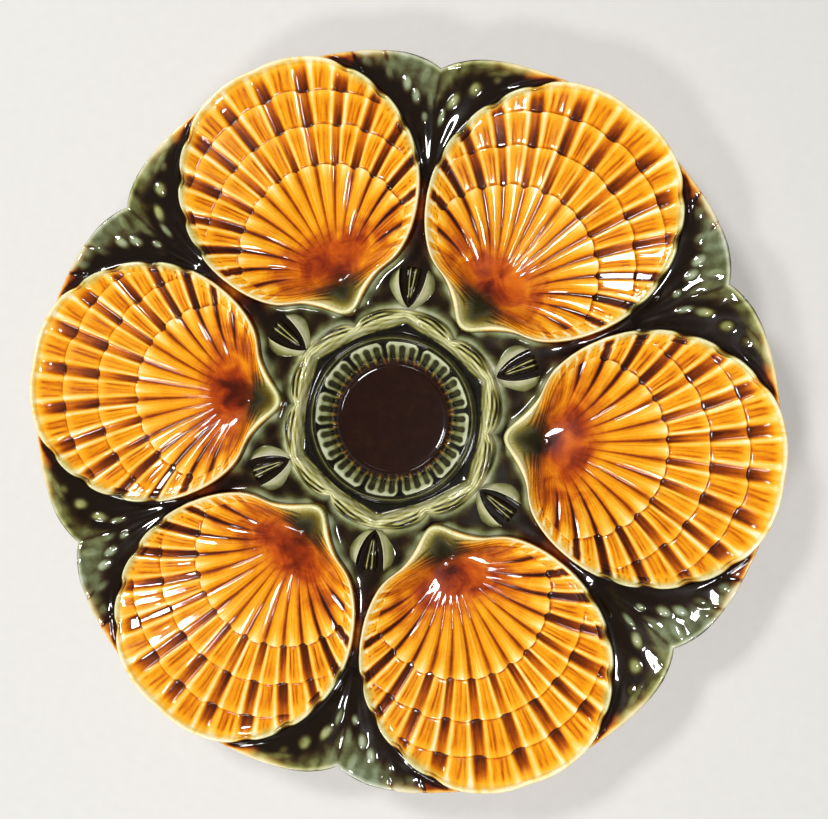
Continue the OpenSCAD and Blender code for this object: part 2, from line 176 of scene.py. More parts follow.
# Brown lead glaze of the underside, and bare clay under the foot: the glaze is dipped, mottled
# where it ran, and stops in a soft line just above the resting face
under_glaze, tree, surface, where = glazed("brown_lead_glaze")
cloud = put(tree, "TexNoise", {"Vector": where, "Scale": 1 / (18 * MM), "Detail": 5, "Roughness": 0.6})
speck = put(tree, "TexNoise", {"Vector": where, "Scale": 1 / (2.4 * MM), "Detail": 3})
thick = put(tree, "Math", {0: speck, 1: 0.22, 2: -0.08}, operation="MULTIPLY_ADD")
thick = put(tree, "Math", {0: cloud, 1: thick}, operation="ADD")
BROWN = [(0.3, "C98A3C"), (0.45, "A35E1E"), (0.6, "7A3E12"), (0.8, "4A220C")]
brown = glaze_ramp(tree, thick, BROWN)
height = put(tree, "SeparateXYZ", {"Vector": where}).outputs["Z"]
wavy = put(tree, "Math", {0: speck, 1: 0.9 * MM, 2: height}, operation="MULTIPLY_ADD")
bare = put(tree, "MapRange", {"Value": wavy, "From Min": 0.55 * MM, "From Max": 0.9 * MM,
                              "To Min": 1, "To Max": 0})
clay = put(tree, "Mix", {0: speck, 6: linear("CDB48C"), 7: linear("E2D0AE")}, data_type="RGBA")
colour = put(tree, "Mix", {0: bare, 6: brown, 7: clay}, data_type="RGBA")
gloss = put(tree, "MapRange", {"Value": bare, "To Min": 0.12, "To Max": 0.8})
ripple = put(tree, "Bump", {"Height": speck, "Strength": 0.25, "Distance": 0.1 * MM})
set_inputs(surface, {"Base Color": colour, "Roughness": gloss, "Normal": ripple, "Coat Weight": 0,
                     "Specular IOR Level": 0.5})

bpy.ops.object.select_all(action="DESELECT")
bpy.ops.mesh.primitive_circle_add(vertices=192, radius=FOOT_R * MM, location=(0, 0, FOOT_H * MM))
foot = bpy.context.object
foot.name = "plate_foot"
bpy.ops.object.mode_set(mode="EDIT")
bpy.ops.mesh.select_all(action="SELECT")
for (r0, z0), (r1, z1) in zip(FOOT_PROFILE, FOOT_PROFILE[1:] + FOOT_PROFILE[:1]):
    bpy.ops.mesh.extrude_region_move(TRANSFORM_OT_translate={"value": (0, 0, (z1 - z0) * MM)})
    widen = (FOOT_R + r1) / (FOOT_R + r0)
    bpy.ops.transform.resize(value=(widen, widen, 1), center_override=(0, 0, 0))
bpy.ops.mesh.select_all(action="SELECT")
bpy.ops.mesh.remove_doubles(threshold=0.01 * MM)
bpy.ops.mesh.normals_make_consistent(inside=False)
bpy.ops.object.mode_set(mode="OBJECT")
bpy.ops.object.transform_apply(location=True, rotation=True, scale=True)
bpy.ops.object.shade_smooth_by_angle(angle=radians(50))
foot.data.materials.append(under_glaze)
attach(foot, "root")
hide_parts("foot_ring")


# ---------------------------------------------------------------- scallop wells
# Six bowls pressed like the inside of a scallop shell, with ribs that fan out from the hinge,
# three growth bands whose edges overlap like tiles, and a plain rounded lip. The amber glaze
# drew off the edges, where the pale clay shows, and ran dark into the furrows and the pool.
WELLS = 6
SIXTH = 360 / WELLS
RIM_H = 22
HINGE_LIP_H = 17.5
FLOOR_H = 8
EDGE_T = 4.5
BASE_R = 68
SHELL_R = 41.4
FRONT_SWELL = 1.2
FLANK_DRAW = 1.6
HINGE_REACH = 4.9
HINGE_DIP = 1.6
HINGE_BACK = 32
CHANNEL_W = 2.4
LIP_W = 1.8
LIP_FALL = 0.7
BAND_R = [29.3, 37.3, 42]
BAND_OUT = [10.7, 15.2, 21.3]
BAND_STEP = 0.8
BAND_DROP = 0.42
FURROW_D = 1.1
FURROW_HALF = 0.21
RIB_PITCH = 12.4
RIB_CLOSING = 0.18
RIB_BEND = 0.45
LAST_RIB = 8.35
TILES = 40
MIDDLE_TILE = 12
FAN_GROOVE_D = 0.4
FAN_RIB_H = 0.22
DEEPEST_RISE = 0.5
TILE_DOME = 0.3
TILE_GROOVE_D = 0.12
FLANK_GROOVE_D = 0.2


# The pressed relief is too fine and too regular to shape with hand tools, so each mesh from here
# on is laid out in rows of points. Lengths are in millimetres and angles in degrees.
def clamp(x, low=0.0, high=1.0):
    return np.minimum(high, np.maximum(low, x))


def mix(a, b, t):
    return a + (b - a) * t


def bell(x, width):
    return np.exp(-(x / width) ** 2)


def ease(x, low, high):
    t = clamp((x - low) / (high - low))
    return t * t * (3 - 2 * t)


def wave(turns):
    return np.cos(2 * np.pi * turns)


def cos_of(a):
    return np.cos(np.radians(a))


def sin_of(a):
    return np.sin(np.radians(a))


def angle_of(y, x):
    return np.degrees(np.arctan2(y, x))


def shell_radius(a):
    """Radius of a well's outline about its middle, at angle a in degrees from the front."""
    a = np.abs(a)
    return (SHELL_R + FRONT_SWELL * bell(a - 28, 22) - FLANK_DRAW * clamp((a - 60) / 60)
            + HINGE_REACH * bell(180 - a, 8.5) - HINGE_DIP * bell(a - 158, 9))


WELL_MID = (SHELL_R - FLANK_DRAW + CHANNEL_W / 2) / sin_of(SIXTH / 2)
HINGE_R = WELL_MID - HINGE_BACK
HINGE_TIP = WELL_MID - shell_radius(180)
WELL_OUT = WELL_MID + shell_radius(0)


def shell_edge(b):
    """Where the rib that leaves the deepest point in direction b meets the outline."""
    a = b + np.degrees(np.arcsin(HINGE_BACK / SHELL_R * sin_of(b)))
    r = shell_radius(a)
    return WELL_MID + r * cos_of(a), r * sin_of(a)


def rib_angle(k):
    """Direction of furrow k, counted from the middle of the front. They close up at the sides."""
    return RIB_PITCH * k - RIB_CLOSING * k * np.abs(k)


def lip_height(r):
    return mix(HINGE_LIP_H, RIM_H, clamp((r - HINGE_TIP) / (WELL_OUT - HINGE_TIP)))


def under_height(r):
    """Height of the underside: flat in the middle, then rising to the edge."""
    return FOOT_H + (RIM_H - EDGE_T - FOOT_H) * clamp((r - BASE_R) / (WELL_OUT - BASE_R)) ** 1.3


def stitch(upper, lower):
    """Triangles between two rows of points that run side by side and may differ in number."""
    faces = []
    i = 0
    j = 0
    while i < len(upper) - 1 or j < len(lower) - 1:
        ahead = (i + 1) * (len(lower) - 1) <= (j + 1) * (len(upper) - 1)
        if j == len(lower) - 1 or (i < len(upper) - 1 and ahead):
            faces.append((upper[i], lower[j], upper[i + 1]))
            i += 1
        else:
            faces.append((upper[i], lower[j], lower[j + 1]))
            j += 1
    return faces


def closed_rows(first, rows, columns):
    """Numbers, from first on, for the points of rows that close on themselves."""
    numbers = first + np.arange(rows * columns).reshape(rows, columns)
    return np.hstack([numbers, numbers[:, :1]])


def fan(middle, row):
    """Triangles between one point and a row of points round it."""
    return [(middle, one, other) for one, other in zip(row[:-1], row[1:])]


def quads(numbers):
    """Faces of a grid of point numbers, seen from above with its rows running outwards."""
    a, b = numbers[:-1, :-1], numbers[:-1, 1:]
    c, d = numbers[1:, 1:], numbers[1:, :-1]
    return np.stack([a, b, c, d], axis=-1).reshape(-1, 4).tolist()


def cast(name, points, faces, under_from, creases, **coats):
    """A mesh from points in millimetres. The underside has the points from under_from on, and
    the faces that lie flat at the height of the foot.
    Each crease is a row of points with a sharp edge, and each coat a value for every point."""
    mesh = bpy.data.meshes.new(name)
    mesh.from_pydata((points * MM).tolist(), [], faces)
    mesh.shade_smooth()
    flat = points[:, 2] < FOOT_H + 0.03
    below = [min(face) >= under_from or flat[list(face)].all() for face in faces]
    mesh.polygons.foreach_set("material_index", np.array(below).astype(np.int32))
    ends = np.zeros(len(mesh.edges) * 2, np.int32)
    mesh.edges.foreach_get("vertices", ends)
    ends = ends.reshape(-1, 2)
    sharp = np.zeros(len(ends), bool)
    for crease in creases:
        on_it = np.zeros(len(points), bool)
        on_it[crease] = True
        sharp |= on_it[ends[:, 0]] & on_it[ends[:, 1]]
    mesh.attributes.new("sharp_edge", "BOOLEAN", "EDGE").data.foreach_set("value", sharp)
    for coat, values in coats.items():
        layer = mesh.attributes.new(coat, "FLOAT", "POINT")
        layer.data.foreach_set("value", np.ravel(values).astype(np.float32))
    return mesh


def set_round(mesh, name, turns, node, materials):
    """Copies a mesh round the plate, each copy turned in its own mesh, in place of its node."""
    for number, turn in enumerate(turns):
        own = mesh.copy()
        own.transform(Matrix.Rotation(radians(turn), 4, "Z"))
        piece = bpy.data.objects.new(f"{name}_{number + 1}" if len(turns) > 1 else name, own)
        bpy.context.scene.collection.objects.link(piece)
        for material in materials:
            own.materials.append(material)
        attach(piece, "root")
        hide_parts(f"{node}_{number + 1}" if len(turns) > 1 else node)


# Columns of points: close together at the sides of the furrows, and evenly round the hinge. For
# each, b is its direction from the deepest point, and rib its place in rib pitches.
IN_RIB = np.array([0, 0.05, 0.09, 0.115, 0.135, 0.155, 0.18, 0.21, 0.25, 0.3, 0.35, 0.41, 0.455])
one_rib = np.unique(np.concatenate([-IN_RIB, IN_RIB, [0.5]]))
ribs = np.unique(np.concatenate([one_rib + k for k in range(-9, 10)]).round(4))
ribs = ribs[np.abs(ribs) <= LAST_RIB]
round_hinge = np.linspace(rib_angle(LAST_RIB), 180, 62)[1:]
b = np.concatenate([-round_hinge[::-1], rib_angle(ribs), round_hinge[:-1]])
beyond = round_hinge - rib_angle(LAST_RIB)
rib = np.concatenate([-(LAST_RIB + beyond[::-1] / 9), ribs, LAST_RIB + beyond[:-1] / 9])
edge_x, edge_y = shell_edge(b)
reach = np.hypot(edge_x - HINGE_R, edge_y)
edge_r = np.hypot(edge_x, edge_y)
b_off = np.abs(b)
rib_off = np.abs(rib)

# Where the growth bands cross each rib, as shares of the way to the lip. The bands bulge a
# little at each rib, and run out under the lip at the flanks.
across = rib - np.round(rib)
aside = np.abs(across)
ribbed = rib_off < LAST_RIB
bent = b * (1 - 0.3 * RIB_BEND * cos_of(b / 2) ** 2)
tile = np.floor(rib).astype(int) + MIDDLE_TILE
on_tile = rib - np.floor(rib)
rng = np.random.default_rng(7)
uneven = rng.random((4, TILES)) - 0.5
knots = [np.zeros(len(b))]
fades = []
for i in range(3):
    out = BAND_OUT[i] * cos_of(bent) + np.sqrt(BAND_R[i] ** 2 - (BAND_OUT[i] * sin_of(bent)) ** 2)
    tile_end = uneven[i, tile] * ease(0.5 - np.abs(on_tile - 0.5), 0.1, 0.2)
    bulge = (0.6 if i == 0 else 0.3) * bell(across, 0.16)
    out = out - bulge + 0.15 * np.sin(5 * rib + 2 * i) + 0.7 * tile_end
    limit = 1 - LIP_W / reach - 0.03 * (3 - i)
    knots.append(np.minimum(out / reach, limit))
    fades.append(clamp((limit - out / reach) / 0.05))
knots.append(1 - LIP_W / reach)
knots = np.array(knots)
fades = np.array(fades)

# Rows of points: 0 to 1 is the fan, 1 to 4 the three bands, and the lip follows
FAN_ROWS = np.concatenate([np.linspace(0.06, 0.9, 30), [0.925, 0.945, 0.962, 0.975, 0.985, 0.993, 1]])
BAND_ROWS = np.array([0.012, 0.028, 0.05, 0.08, 0.13, 0.2, 0.28, 0.37, 0.46, 0.55, 0.64, 0.73, 0.81,
                      0.87, 0.915, 0.945, 0.968, 0.985, 1])
place = np.concatenate([FAN_ROWS, 1 + BAND_ROWS, 2 + BAND_ROWS, 3 + BAND_ROWS])
zone = np.minimum(np.ceil(place) - 1, 3).astype(int)
u = (place - zone)[:, None]
start = knots[zone]
end = knots[zone + 1]
share = mix(start, end, u)
since = u * (end - start) * reach
until = (1 - u) * (end - start) * reach
zone = zone[:, None]
in_band = zone > 0
from_deepest = share * reach
from_lip = (1 - share) * reach

# The ribs bend a little on their way, and the wall is less steep behind the deepest point
true = angle_of(edge_y, edge_x - HINGE_R)
true[b_off == 180] = 180
lean = true * (1 - RIB_BEND * (1 - share) * cos_of(true / 2) ** 2)
x = HINGE_R + from_deepest * cos_of(lean)
y = from_deepest * sin_of(lean)
steep = 1.9 - 0.5 * clamp(-cos_of(b))
z = mix(FLOOR_H, lip_height(edge_r) - LIP_FALL, share ** steep)

# Each band climbs to its edge and drops to the start of the next
before = np.where(in_band, fades[np.maximum(zone - 1, 0), np.arange(len(b))], 0)
after = np.where(zone < 3, fades[np.minimum(zone, 2), np.arange(len(b))], 0)
climb = np.where(in_band, u ** 1.4, u ** 3)
drop = bell(since, BAND_DROP)
z = z + BAND_STEP * (0.8 * after * climb - 0.2 * before * (1 - climb) + before * drop)

# Furrows between the tiles, with sloping sides, and the narrow grooves of the fan, which fade
# out towards the deepest point. On the flanks both lie close together and grow faint.
flank = ease(rib_off, 2.4, 5.5)
rib_number = np.round(rib).astype(int) + MIDDLE_TILE
half_now = (0.155 + 0.05 * uneven[zone, rib_number]) * mix(1, 0.86, ease(u, 0.2, 0.9) * (1 - flank))
furrow = (1 - ease(aside, half_now - 0.045, half_now + 0.055)) * in_band * ribbed
ribs_on = ease(from_deepest, 11, 25) * (zone == 0) * (1 - ease(rib_off, 7.5, 8.3))
outwards = 1 - ease(from_lip, 1, 9)
wider = 0.1 * outwards * ease(rib_off, 3.5, 6)
line = bell(across, 0.1 + 0.06 * u + wider) * ribs_on
hinge_fade = 1 - 0.75 * ease(rib_off, 5.6, 7.4)
thins_out = 0.2 * u + 0.7 * ease(u, 0.55, 0.95)
furrow_end = hinge_fade * np.where(zone == 3, 1 - (1 - flank) * thins_out, 1)
z = z - FURROW_D * furrow * (0.85 + 0.15 * bell(u, 0.3)) * furrow_end
fine_line = bell(across, 0.075 + 0.035 * u + wider) * ribs_on
z = z - FAN_GROOVE_D * line - FAN_RIB_H * ribs_on * wave(across) + DEEPEST_RISE * bell(from_deepest, 7)
tile_dome = in_band * (1 - bell(aside - 0.5, 0.3))
z = z - TILE_DOME * tile_dome * (1 - furrow)

# Fine grooves along each rib, three to a tile, and closer ones on the plain flanks
groove = np.zeros_like(x)
for j in range(3):
    middle = 0.33 + 0.17 * j + 0.08 * (rng.random((4, TILES)) - 0.5)
    force = 0.3 + 0.7 * rng.random((4, TILES))
    beside = on_tile - middle[zone, tile] - 0.02 * np.sin(4 * u + j)
    groove = groove + force[zone, tile] * bell(beside, 0.032)
groove = groove * ease(u, 0.02, 0.2) * (1 - ease(u, 0.72, 0.95) * 0.8)
groove = groove * np.where(in_band, 1, 0.5 * ribs_on) * (rib_off < 8)
flank_groove = np.zeros_like(x)
for j in range(5):
    leaves = 100 - 6 * j
    middle = 0.4 + (3.4 + 1.9 * j) * clamp((b_off - leaves) / 44) ** 0.8 + 0.15 * np.sin(0.2 * b + 2 * j)
    seen = ease(b_off, leaves, leaves + 6) * (1 - ease(b_off, 134 - 7 * j, 152 - 7 * j))
    flank_groove = flank_groove + (1 - 0.1 * j) * seen * bell(from_lip - middle, 0.36 + 0.06 * j)
z = z - TILE_GROOVE_D * groove - FLANK_GROOVE_D * flank_groove

# The lip: a rounded crest, then its outer face down to the underside, which is rounded as well
# where no neighbour meets it. The furrows of the flanks run out over it and notch its edge.
free = 1 - ease(b_off, 12.5, 14.7)
on_flank = ease(b_off, 16, 30) * (1 - ease(b_off, 58, 74))
at_furrow = bell(across, 0.2) * ribbed * (1 - ease(b_off, 58, 70))
at_rib = bell(aside - 0.5, 0.28) * ribbed
notch = (0.12 + 1.03 * on_flank) * at_furrow
crest_z = lip_height(edge_r) - 0.08 - (0.1 + 1.0 * on_flank) * at_furrow
foot_z = under_height(edge_r)
# Rings of the lip: how far each lies inside the outline, its height over the crest, how much of
# the notch it follows, how thick the glaze is on it, and the share of the furrows' dark glaze
LIP_RINGS = np.array([
    (1.5, -0.22, 1, 0.05, 1), (1.15, -0.06, 1, 0, 0.95), (0.85, 0, 1, -0.04, 0.8),
    (0.55, -0.1, 1, 0, 0.7), (0.3, -0.35, 1, 0.12, 0.6), (0.12, -0.75, 0.7, 0.36, 0.5),
    (0.04, -1.4, 0.3, 0.62, 0.3), (0.04, -2.2, 0, 0.85, 0.1),
])
LOW_RINGS = np.array([(0.04, 1.4), (0.1, 0.75), (0.4, 0.25), (1.1, 0)])
inset, fall, notched, lip_thick, over_lip = LIP_RINGS.T[:, :, None]
low_inset, rise = LOW_RINGS.T[:, :, None]
ring_share = np.vstack([1 - (inset + notched * notch - 0.35 * on_flank * at_rib * (inset > 0.6)) / reach,
                        1 - low_inset * free / reach])
well_x = np.vstack([x, HINGE_R + (edge_x - HINGE_R) * ring_share])
well_y = np.vstack([y, edge_y * ring_share])
well_z = np.vstack([z, crest_z + fall, foot_z + rise * free])
rows, columns = well_x.shape

# How thick the glaze lies, from 0 on a bare edge to 1 in a deep pool, and the other colours in it
edge_share = 0.5 + 0.5 * rng.random((4, TILES))
side = bell(aside - half_now - 0.09, 0.065) * in_band * edge_share[zone, tile] * ribbed
# Band edges: the crest is a pale line where the glaze thins on each band's edge, and partly a painted
# highlight. The gutter is a dark line where glaze pools at the foot of the next step, and partly a
# painted shadow.
crest = after * bell(until, 1.6) * (1 - 0.75 * furrow) * (0.55 + 0.45 * edge_share[zone, tile])
gutter_pool_and_shadow = before * bell(since - 0.5, 0.5) * (1 - furrow)
outer_end = ease(u, 0.15, 1)
in_furrow = np.select([zone == 1, zone == 2, zone == 3],
                      [0.36 - 0.2 * outer_end, 0.4 - 0.16 * outer_end, 0.42 - 0.2 * outer_end], 0)
in_furrow = in_furrow + 0.1 * bell(u, 0.2) * in_band
flank_furrow = np.where(zone == 3, 0.56, 0.5) + 0.1 * bell(u, 0.4)
tint = (1 - ease(aside, half_now - 0.075, half_now + 0.075)) * in_band * ribbed
in_furrow = tint * furrow_end ** 0.7 * hinge_fade ** 0.3 * mix(in_furrow, flank_furrow, flank)
core_furrow = bell(aside, 0.07) * in_band * ribbed
fan_crest = ribs_on * bell(aside - 0.5, 0.22)
in_fan_groove = 0.17 + 0.12 * u + 0.26 * flank * ease(u, 0.3, 1) * hinge_fade
# The crest's paling and the gutter's darkening below are partly a painted highlight and a painted shadow.
thick = (0.4 - 0.35 * side - 0.12 * crest + 0.16 * gutter_pool_and_shadow + in_furrow - 0.06 * core_furrow * (1 - flank)
         - 0.08 * fan_crest - 0.16 * fan_crest * bell(until, 5)
         + 0.06 * line + fine_line * in_fan_groove + 0.3 * groove + 0.3 * flank_groove)
thick = thick - 0.26 * bell(from_lip, 2.8) * (1 - furrow * furrow_end)
hinge_side = ease(b_off, 56, 86)
thick = thick - 0.22 * hinge_side * bell(from_lip, 3.8) * (1 - 0.7 * line)
thick = thick + 0.1 * hinge_side * bell(from_lip - 9, 4)
thick = thick - 0.14 * ease(b_off, 108, 140) * bell(from_lip, 2.6)

# The pool round the deepest point, red-brown in front of it and on its two cheeks, and olive
# behind it, up the inside of the hinge
ahead = x - HINGE_R
hinge_in = (1 - ease(ahead, -4, 6)) * bell(y, 10)
core = bell(ahead - 2.5 + 0.03 * y * y, 5) * bell(y, 6)
cheek = bell(ahead - 8 - 0.15 * np.abs(y), 9) * bell(np.abs(y) - 13, 11) * ease(from_lip, 2, 9)
thick = thick + 0.2 * hinge_in * (1 - bell(from_lip, 2.6)) + 0.26 * core + 0.12 * cheek
thick = thick + 0.14 * bell(ahead - 10, 8) * bell(y, 8)
red = bell(ahead - 9, 8) * bell(y, 8.5) + 0.6 * cheek
olive = (1 - ease(ahead, -4, 5)) * bell(y, 10)
olive = olive + (1 - ease(from_lip, 1.0, 3.5)) * (1 - ease(ahead, -6, 0)) * 0.6
olive = clamp(olive + 0.6 * bell(from_lip, 2.8) * on_flank)

# Over the lip and down its outer face
lip_thick = mix(lip_thick, np.minimum(lip_thick, 0.36), free)
lip_thick = lip_thick + (0.06 + 0.74 * on_flank * over_lip) * at_furrow
lip_thick = lip_thick - 0.6 * ease(b_off, 136, 160) * np.maximum(lip_thick - 0.15, 0) - 0.06 * on_flank
lip_olive = 0.65 * on_flank + 0.8 * ease(b_off, 132, 158)
wall = np.zeros((len(LOW_RINGS), columns))
thick = np.vstack([thick, lip_thick, wall + mix(0.9, 0.45, free)])
olive = np.vstack([olive, 0 * lip_thick + lip_olive, wall])
red = np.vstack([red, 0 * lip_thick, wall])

# Underside: fewer points, on the same rising surface as the neighbours'
UNDER_SHARES = [0.93, 0.84, 0.74, 0.63, 0.5, 0.35, 0.18]
UNDER_SKIP = 4
some = np.arange(0, columns, UNDER_SKIP)
under_x = np.array([HINGE_R + (edge_x[some] - HINGE_R) * s for s in UNDER_SHARES])
under_y = np.array([edge_y[some] * s for s in UNDER_SHARES])
under_z = under_height(np.hypot(under_x, under_y))

top = np.stack([well_x, well_y, well_z], axis=-1).reshape(-1, 3)
below = np.stack([under_x, under_y, under_z], axis=-1).reshape(-1, 3)
deepest = np.array([[HINGE_R, 0, FLOOR_H], [HINGE_R, 0, FOOT_H]])
points = np.vstack([top, deepest[:1], below, deepest[1:]])
middle = rows * columns
grid = closed_rows(0, rows, columns)
low_grid = closed_rows(middle + 1, len(UNDER_SHARES), len(some))
faces = quads(grid[:, ::-1]) + fan(middle, grid[0]) + stitch(grid[-1], low_grid[0])
faces += quads(low_grid[:, ::-1]) + fan(len(points) - 1, low_grid[-1, ::-1])
thick, red, olive = [np.concatenate([coat.reshape(-1), [coat[0].mean()], np.full(len(below) + 1, 0.5)])
                     for coat in (thick, red, olive)]
along = np.vstack([share, np.ones((rows - len(share), columns))])
rib_all, along = [np.append(way.reshape(-1), np.zeros(len(below) + 2))
                  for way in (rib + 0 * well_x, along)]
well_mesh = cast("shell_well", points, faces, middle + 1, [grid[-1, :-1]],
                 thickness=thick, red_run=red, green_run=olive, rib=rib_all, along=along)

# Amber lead glaze: a clear glaze stained with iron, over pale clay. It is cream where it is thin,
# amber where it is even and red-brown to black where it lies deep, with streaks along the ribs.
amber_glaze, tree, surface, where, laid, red_run, green_run, rib_way, rib_along = glazed(
    "amber_lead_glaze", "thickness", "red_run", "green_run", "rib", "along")
# Streaks 2 mm wide and 17 mm long, where a rib is 16 mm wide at the front lip and 74.8 mm long
STREAK_W, STREAK_L = 2, 17
FULL_RIB_W, FULL_RIB_L = 16, 74.8
slow = put(tree, "Math", {0: rib_along, 1: FULL_RIB_L / STREAK_L * STREAK_W / FULL_RIB_W},
           operation="MULTIPLY")
streak_way = put(tree, "CombineXYZ", {"X": rib_way, "Y": slow})
streak = put(tree, "TexNoise", {"Vector": streak_way, "Scale": FULL_RIB_W / STREAK_W, "Detail": 4,
                                "Roughness": 0.6})
sway = put(tree, "Math", {0: streak, 1: 0.5, 2: -0.25}, operation="MULTIPLY_ADD")
spread_out = put(tree, "MapRange", {"Value": rib_along, "From Min": 0.2, "From Max": 0.45})
sway = put(tree, "Math", {0: sway, 1: spread_out}, operation="MULTIPLY")
# Clouds 8 mm across, thin spots of a millimetre, and blotches of red in the pool
cloud = put(tree, "TexNoise", {"Vector": where, "Scale": 1 / (7.7 * MM), "Detail": 4, "Roughness": 0.55})
speck = put(tree, "TexNoise", {"Vector": where, "Scale": 1 / (1.1 * MM), "Detail": 2})
blotch = put(tree, "TexNoise", {"Vector": where, "Scale": 1 / (7.7 * MM), "Detail": 4, "Roughness": 0.5,
                                "Distortion": 0.8})
drift = put(tree, "Math", {0: cloud, 1: 0.2, 2: sway}, operation="MULTIPLY_ADD")
thin_spots = put(tree, "Math", {0: speck, 1: 0.07, 2: -0.135}, operation="MULTIPLY_ADD")
total = put(tree, "Math", {0: drift, 1: thin_spots}, operation="ADD")
total = put(tree, "Math", {0: laid, 1: total}, operation="ADD")
blot = put(tree, "Math", {0: blotch, 1: 0.8, 2: -0.42}, operation="MULTIPLY_ADD")
total = put(tree, "Math", {0: blot, 1: red_run, 2: total}, operation="MULTIPLY_ADD")
AMBER = [(0, "FCEDBE"), (0.12, "FBD878"), (0.26, "F9BC34"), (0.4, "F3A010"), (0.54, "D06C06"),
         (0.68, "8C3A04"), (0.82, "541E02"), (1, "280D02")]
RED = [(0, "F0A03C"), (0.3, "DC6A16"), (0.48, "B8480C"), (0.62, "88280A"), (0.78, "4C1406"),
       (1, "1E0A04")]
OLIVE = [(0, "E2DFA8"), (0.18, "C0BB74"), (0.36, "8F8A42"), (0.54, "56521E"), (0.72, "2E2A10"),
         (0.9, "17140A")]
amber, red_coat, olive_coat = [glaze_ramp(tree, total, stops) for stops in (AMBER, RED, OLIVE)]
red_share = put(tree, "Math", {0: blotch, 1: 1.0, 2: -0.52}, operation="MULTIPLY_ADD")
red_share = put(tree, "Math", {0: red_share, 1: red_run}, operation="ADD")
red_share = put(tree, "MapRange", {"Value": red_share, "From Min": 0.1, "From Max": 0.75, "To Max": 0.9})
reddened = put(tree, "Mix", {0: red_share, 6: amber, 7: red_coat}, data_type="RGBA")
green_share = put(tree, "Math", {0: cloud, 1: 0.9, 2: -0.45}, operation="MULTIPLY_ADD")
green_share = put(tree, "Math", {0: green_share, 1: green_run}, operation="ADD")
green_edge = put(tree, "MapRange", {"Value": green_share, "From Min": 0.15, "From Max": 0.8})
coloured = put(tree, "Mix", {0: green_edge, 6: reddened, 7: olive_coat}, data_type="RGBA")
ripple = put(tree, "Bump", {"Height": cloud, "Strength": 0.34, "Distance": 0.25 * MM})
set_inputs(surface, {"Base Color": coloured, "Normal": ripple})

WELL_TURNS = [SIXTH * k for k in range(WELLS)]
set_round(well_mesh, "scallop_well", WELL_TURNS, "shell_well", [amber_glaze, under_glaze])


# ---------------------------------------------------------------- channels and seaweed panels
# The land between two wells: a dark pool by the wreath, a narrow channel between the lips, and
# a rim panel with fronds of bladder wrack. The brown-black glaze lies deep in all of it and
# thins to grey-green on the bladders and leaves, and to amber at the panel's two ends.
POOL_H = 12
CHANNEL_H = 13
PANEL_H = 20
PANEL_R = 122
NOTCH_D = 7.2
NOTCH_RUN = 6
WREATH_OUT = 33.2
WREATH_SWELL = 3.7
PINCH_RUN = 6
NECK_B = 127
PANEL_B = rib_angle(5 + FURROW_HALF)
END_B = rib_angle(1 + FURROW_HALF)
POOL_L = 14.2
WARM_Y = 70
FILLET_H, FILLET_RUN = 0.6, 0.7
HINGE_FILLET_H, HINGE_FILLET_RUN = 1.5, 1.1
PANEL_SWELL = 0.9
ROW_PITCH = 0.62
CHANNEL_COLUMNS = 49
PANEL_COLUMNS = 169


def wreath_edge(a):
    """Radius of the wreath's outer edge, by the angle from the nearest hinge."""
    return WREATH_OUT + WREATH_SWELL * (1 - np.exp(-a / PINCH_RUN))


def between(x, y):
    """A point of the first well, seen from the gap beside it, whose axis runs out along +Y."""
    a = angle_of(y, x) - SIXTH / 2
    r = np.hypot(x, y)
    return -r * sin_of(a), r * cos_of(a)


def along_wells(first_b, last_b):
    """Evenly spaced places along the outlines of the two wells, from the wreath outwards."""
    fine = np.linspace(first_b, last_b, 3000)
    x, y = between(*shell_edge(fine))
    length = np.append(0, np.cumsum(np.hypot(np.diff(x), np.diff(y))))
    even = np.linspace(0, length[-1], int(length[-1] / ROW_PITCH) + 1)
    return np.interp(even, length, x), np.interp(even, length, y)


def panel_edge(a):
    return PANEL_R - NOTCH_D * np.exp(-np.abs(a) / NOTCH_RUN)


first_y = WREATH_OUT * cos_of(SIXTH / 2)
neck_y = between(*shell_edge(NECK_B))[1]
panel_y = between(*shell_edge(PANEL_B))[1]
last_x, last_y = between(*shell_edge(END_B))
PANEL_ANGLE = angle_of(last_x, last_y)


def land_plan(end_x, end_y, u):
    """Plan of rows that end on the two wells' outlines, with u from -1 to 1 across each row."""
    end_x = end_x[:, None]
    end_y = end_y[:, None]
    bulge = (wreath_edge(SIXTH / 2) - first_y) * clamp(1 - (end_y - first_y) / (neck_y - first_y))
    out = clamp((end_y - panel_y) / (last_y - panel_y)) ** 2
    a = PANEL_ANGLE * u
    rise = panel_edge(a) * cos_of(a) - panel_edge(PANEL_ANGLE) * cos_of(PANEL_ANGLE)
    return end_x * u, end_y + bulge * (1 - u * u) + out * rise


def slab_mesh(name, top, skip, floor_height, **coats):
    """A closed slab from a grid of top points and a coarser one below it, at a height that
    floor_height gives from the distance to the middle of the plate."""
    rows, columns = top.shape[:2]
    some_rows = np.unique(np.append(np.arange(0, rows, skip), rows - 1))
    some_columns = np.unique(np.append(np.arange(0, columns, skip), columns - 1))
    low = top[np.ix_(some_rows, some_columns)].copy()
    low[..., 2] = floor_height(np.hypot(low[..., 0], low[..., 1]))
    grid = np.arange(rows * columns).reshape(rows, columns)
    low_grid = rows * columns + np.arange(low.shape[0] * low.shape[1]).reshape(low.shape[:2])
    faces = quads(grid) + quads(low_grid[:, ::-1])
    faces += stitch(grid[0], low_grid[0])
    faces += stitch(grid[-1, ::-1], low_grid[-1, ::-1])
    faces += stitch(grid[::-1, 0], low_grid[::-1, 0])
    faces += stitch(grid[:, -1], low_grid[:, -1])
    points = np.vstack([top.reshape(-1, 3), low.reshape(-1, 3)])
    rims = [part for g in (grid, low_grid) for part in (g[0], g[-1], g[:, 0], g[:, -1])]
    coats = {coat: np.append(value.reshape(-1), np.full(low_grid.size, 0.6))
             for coat, value in coats.items()}
    return cast(name, points, faces, rows * columns, rims, **coats)


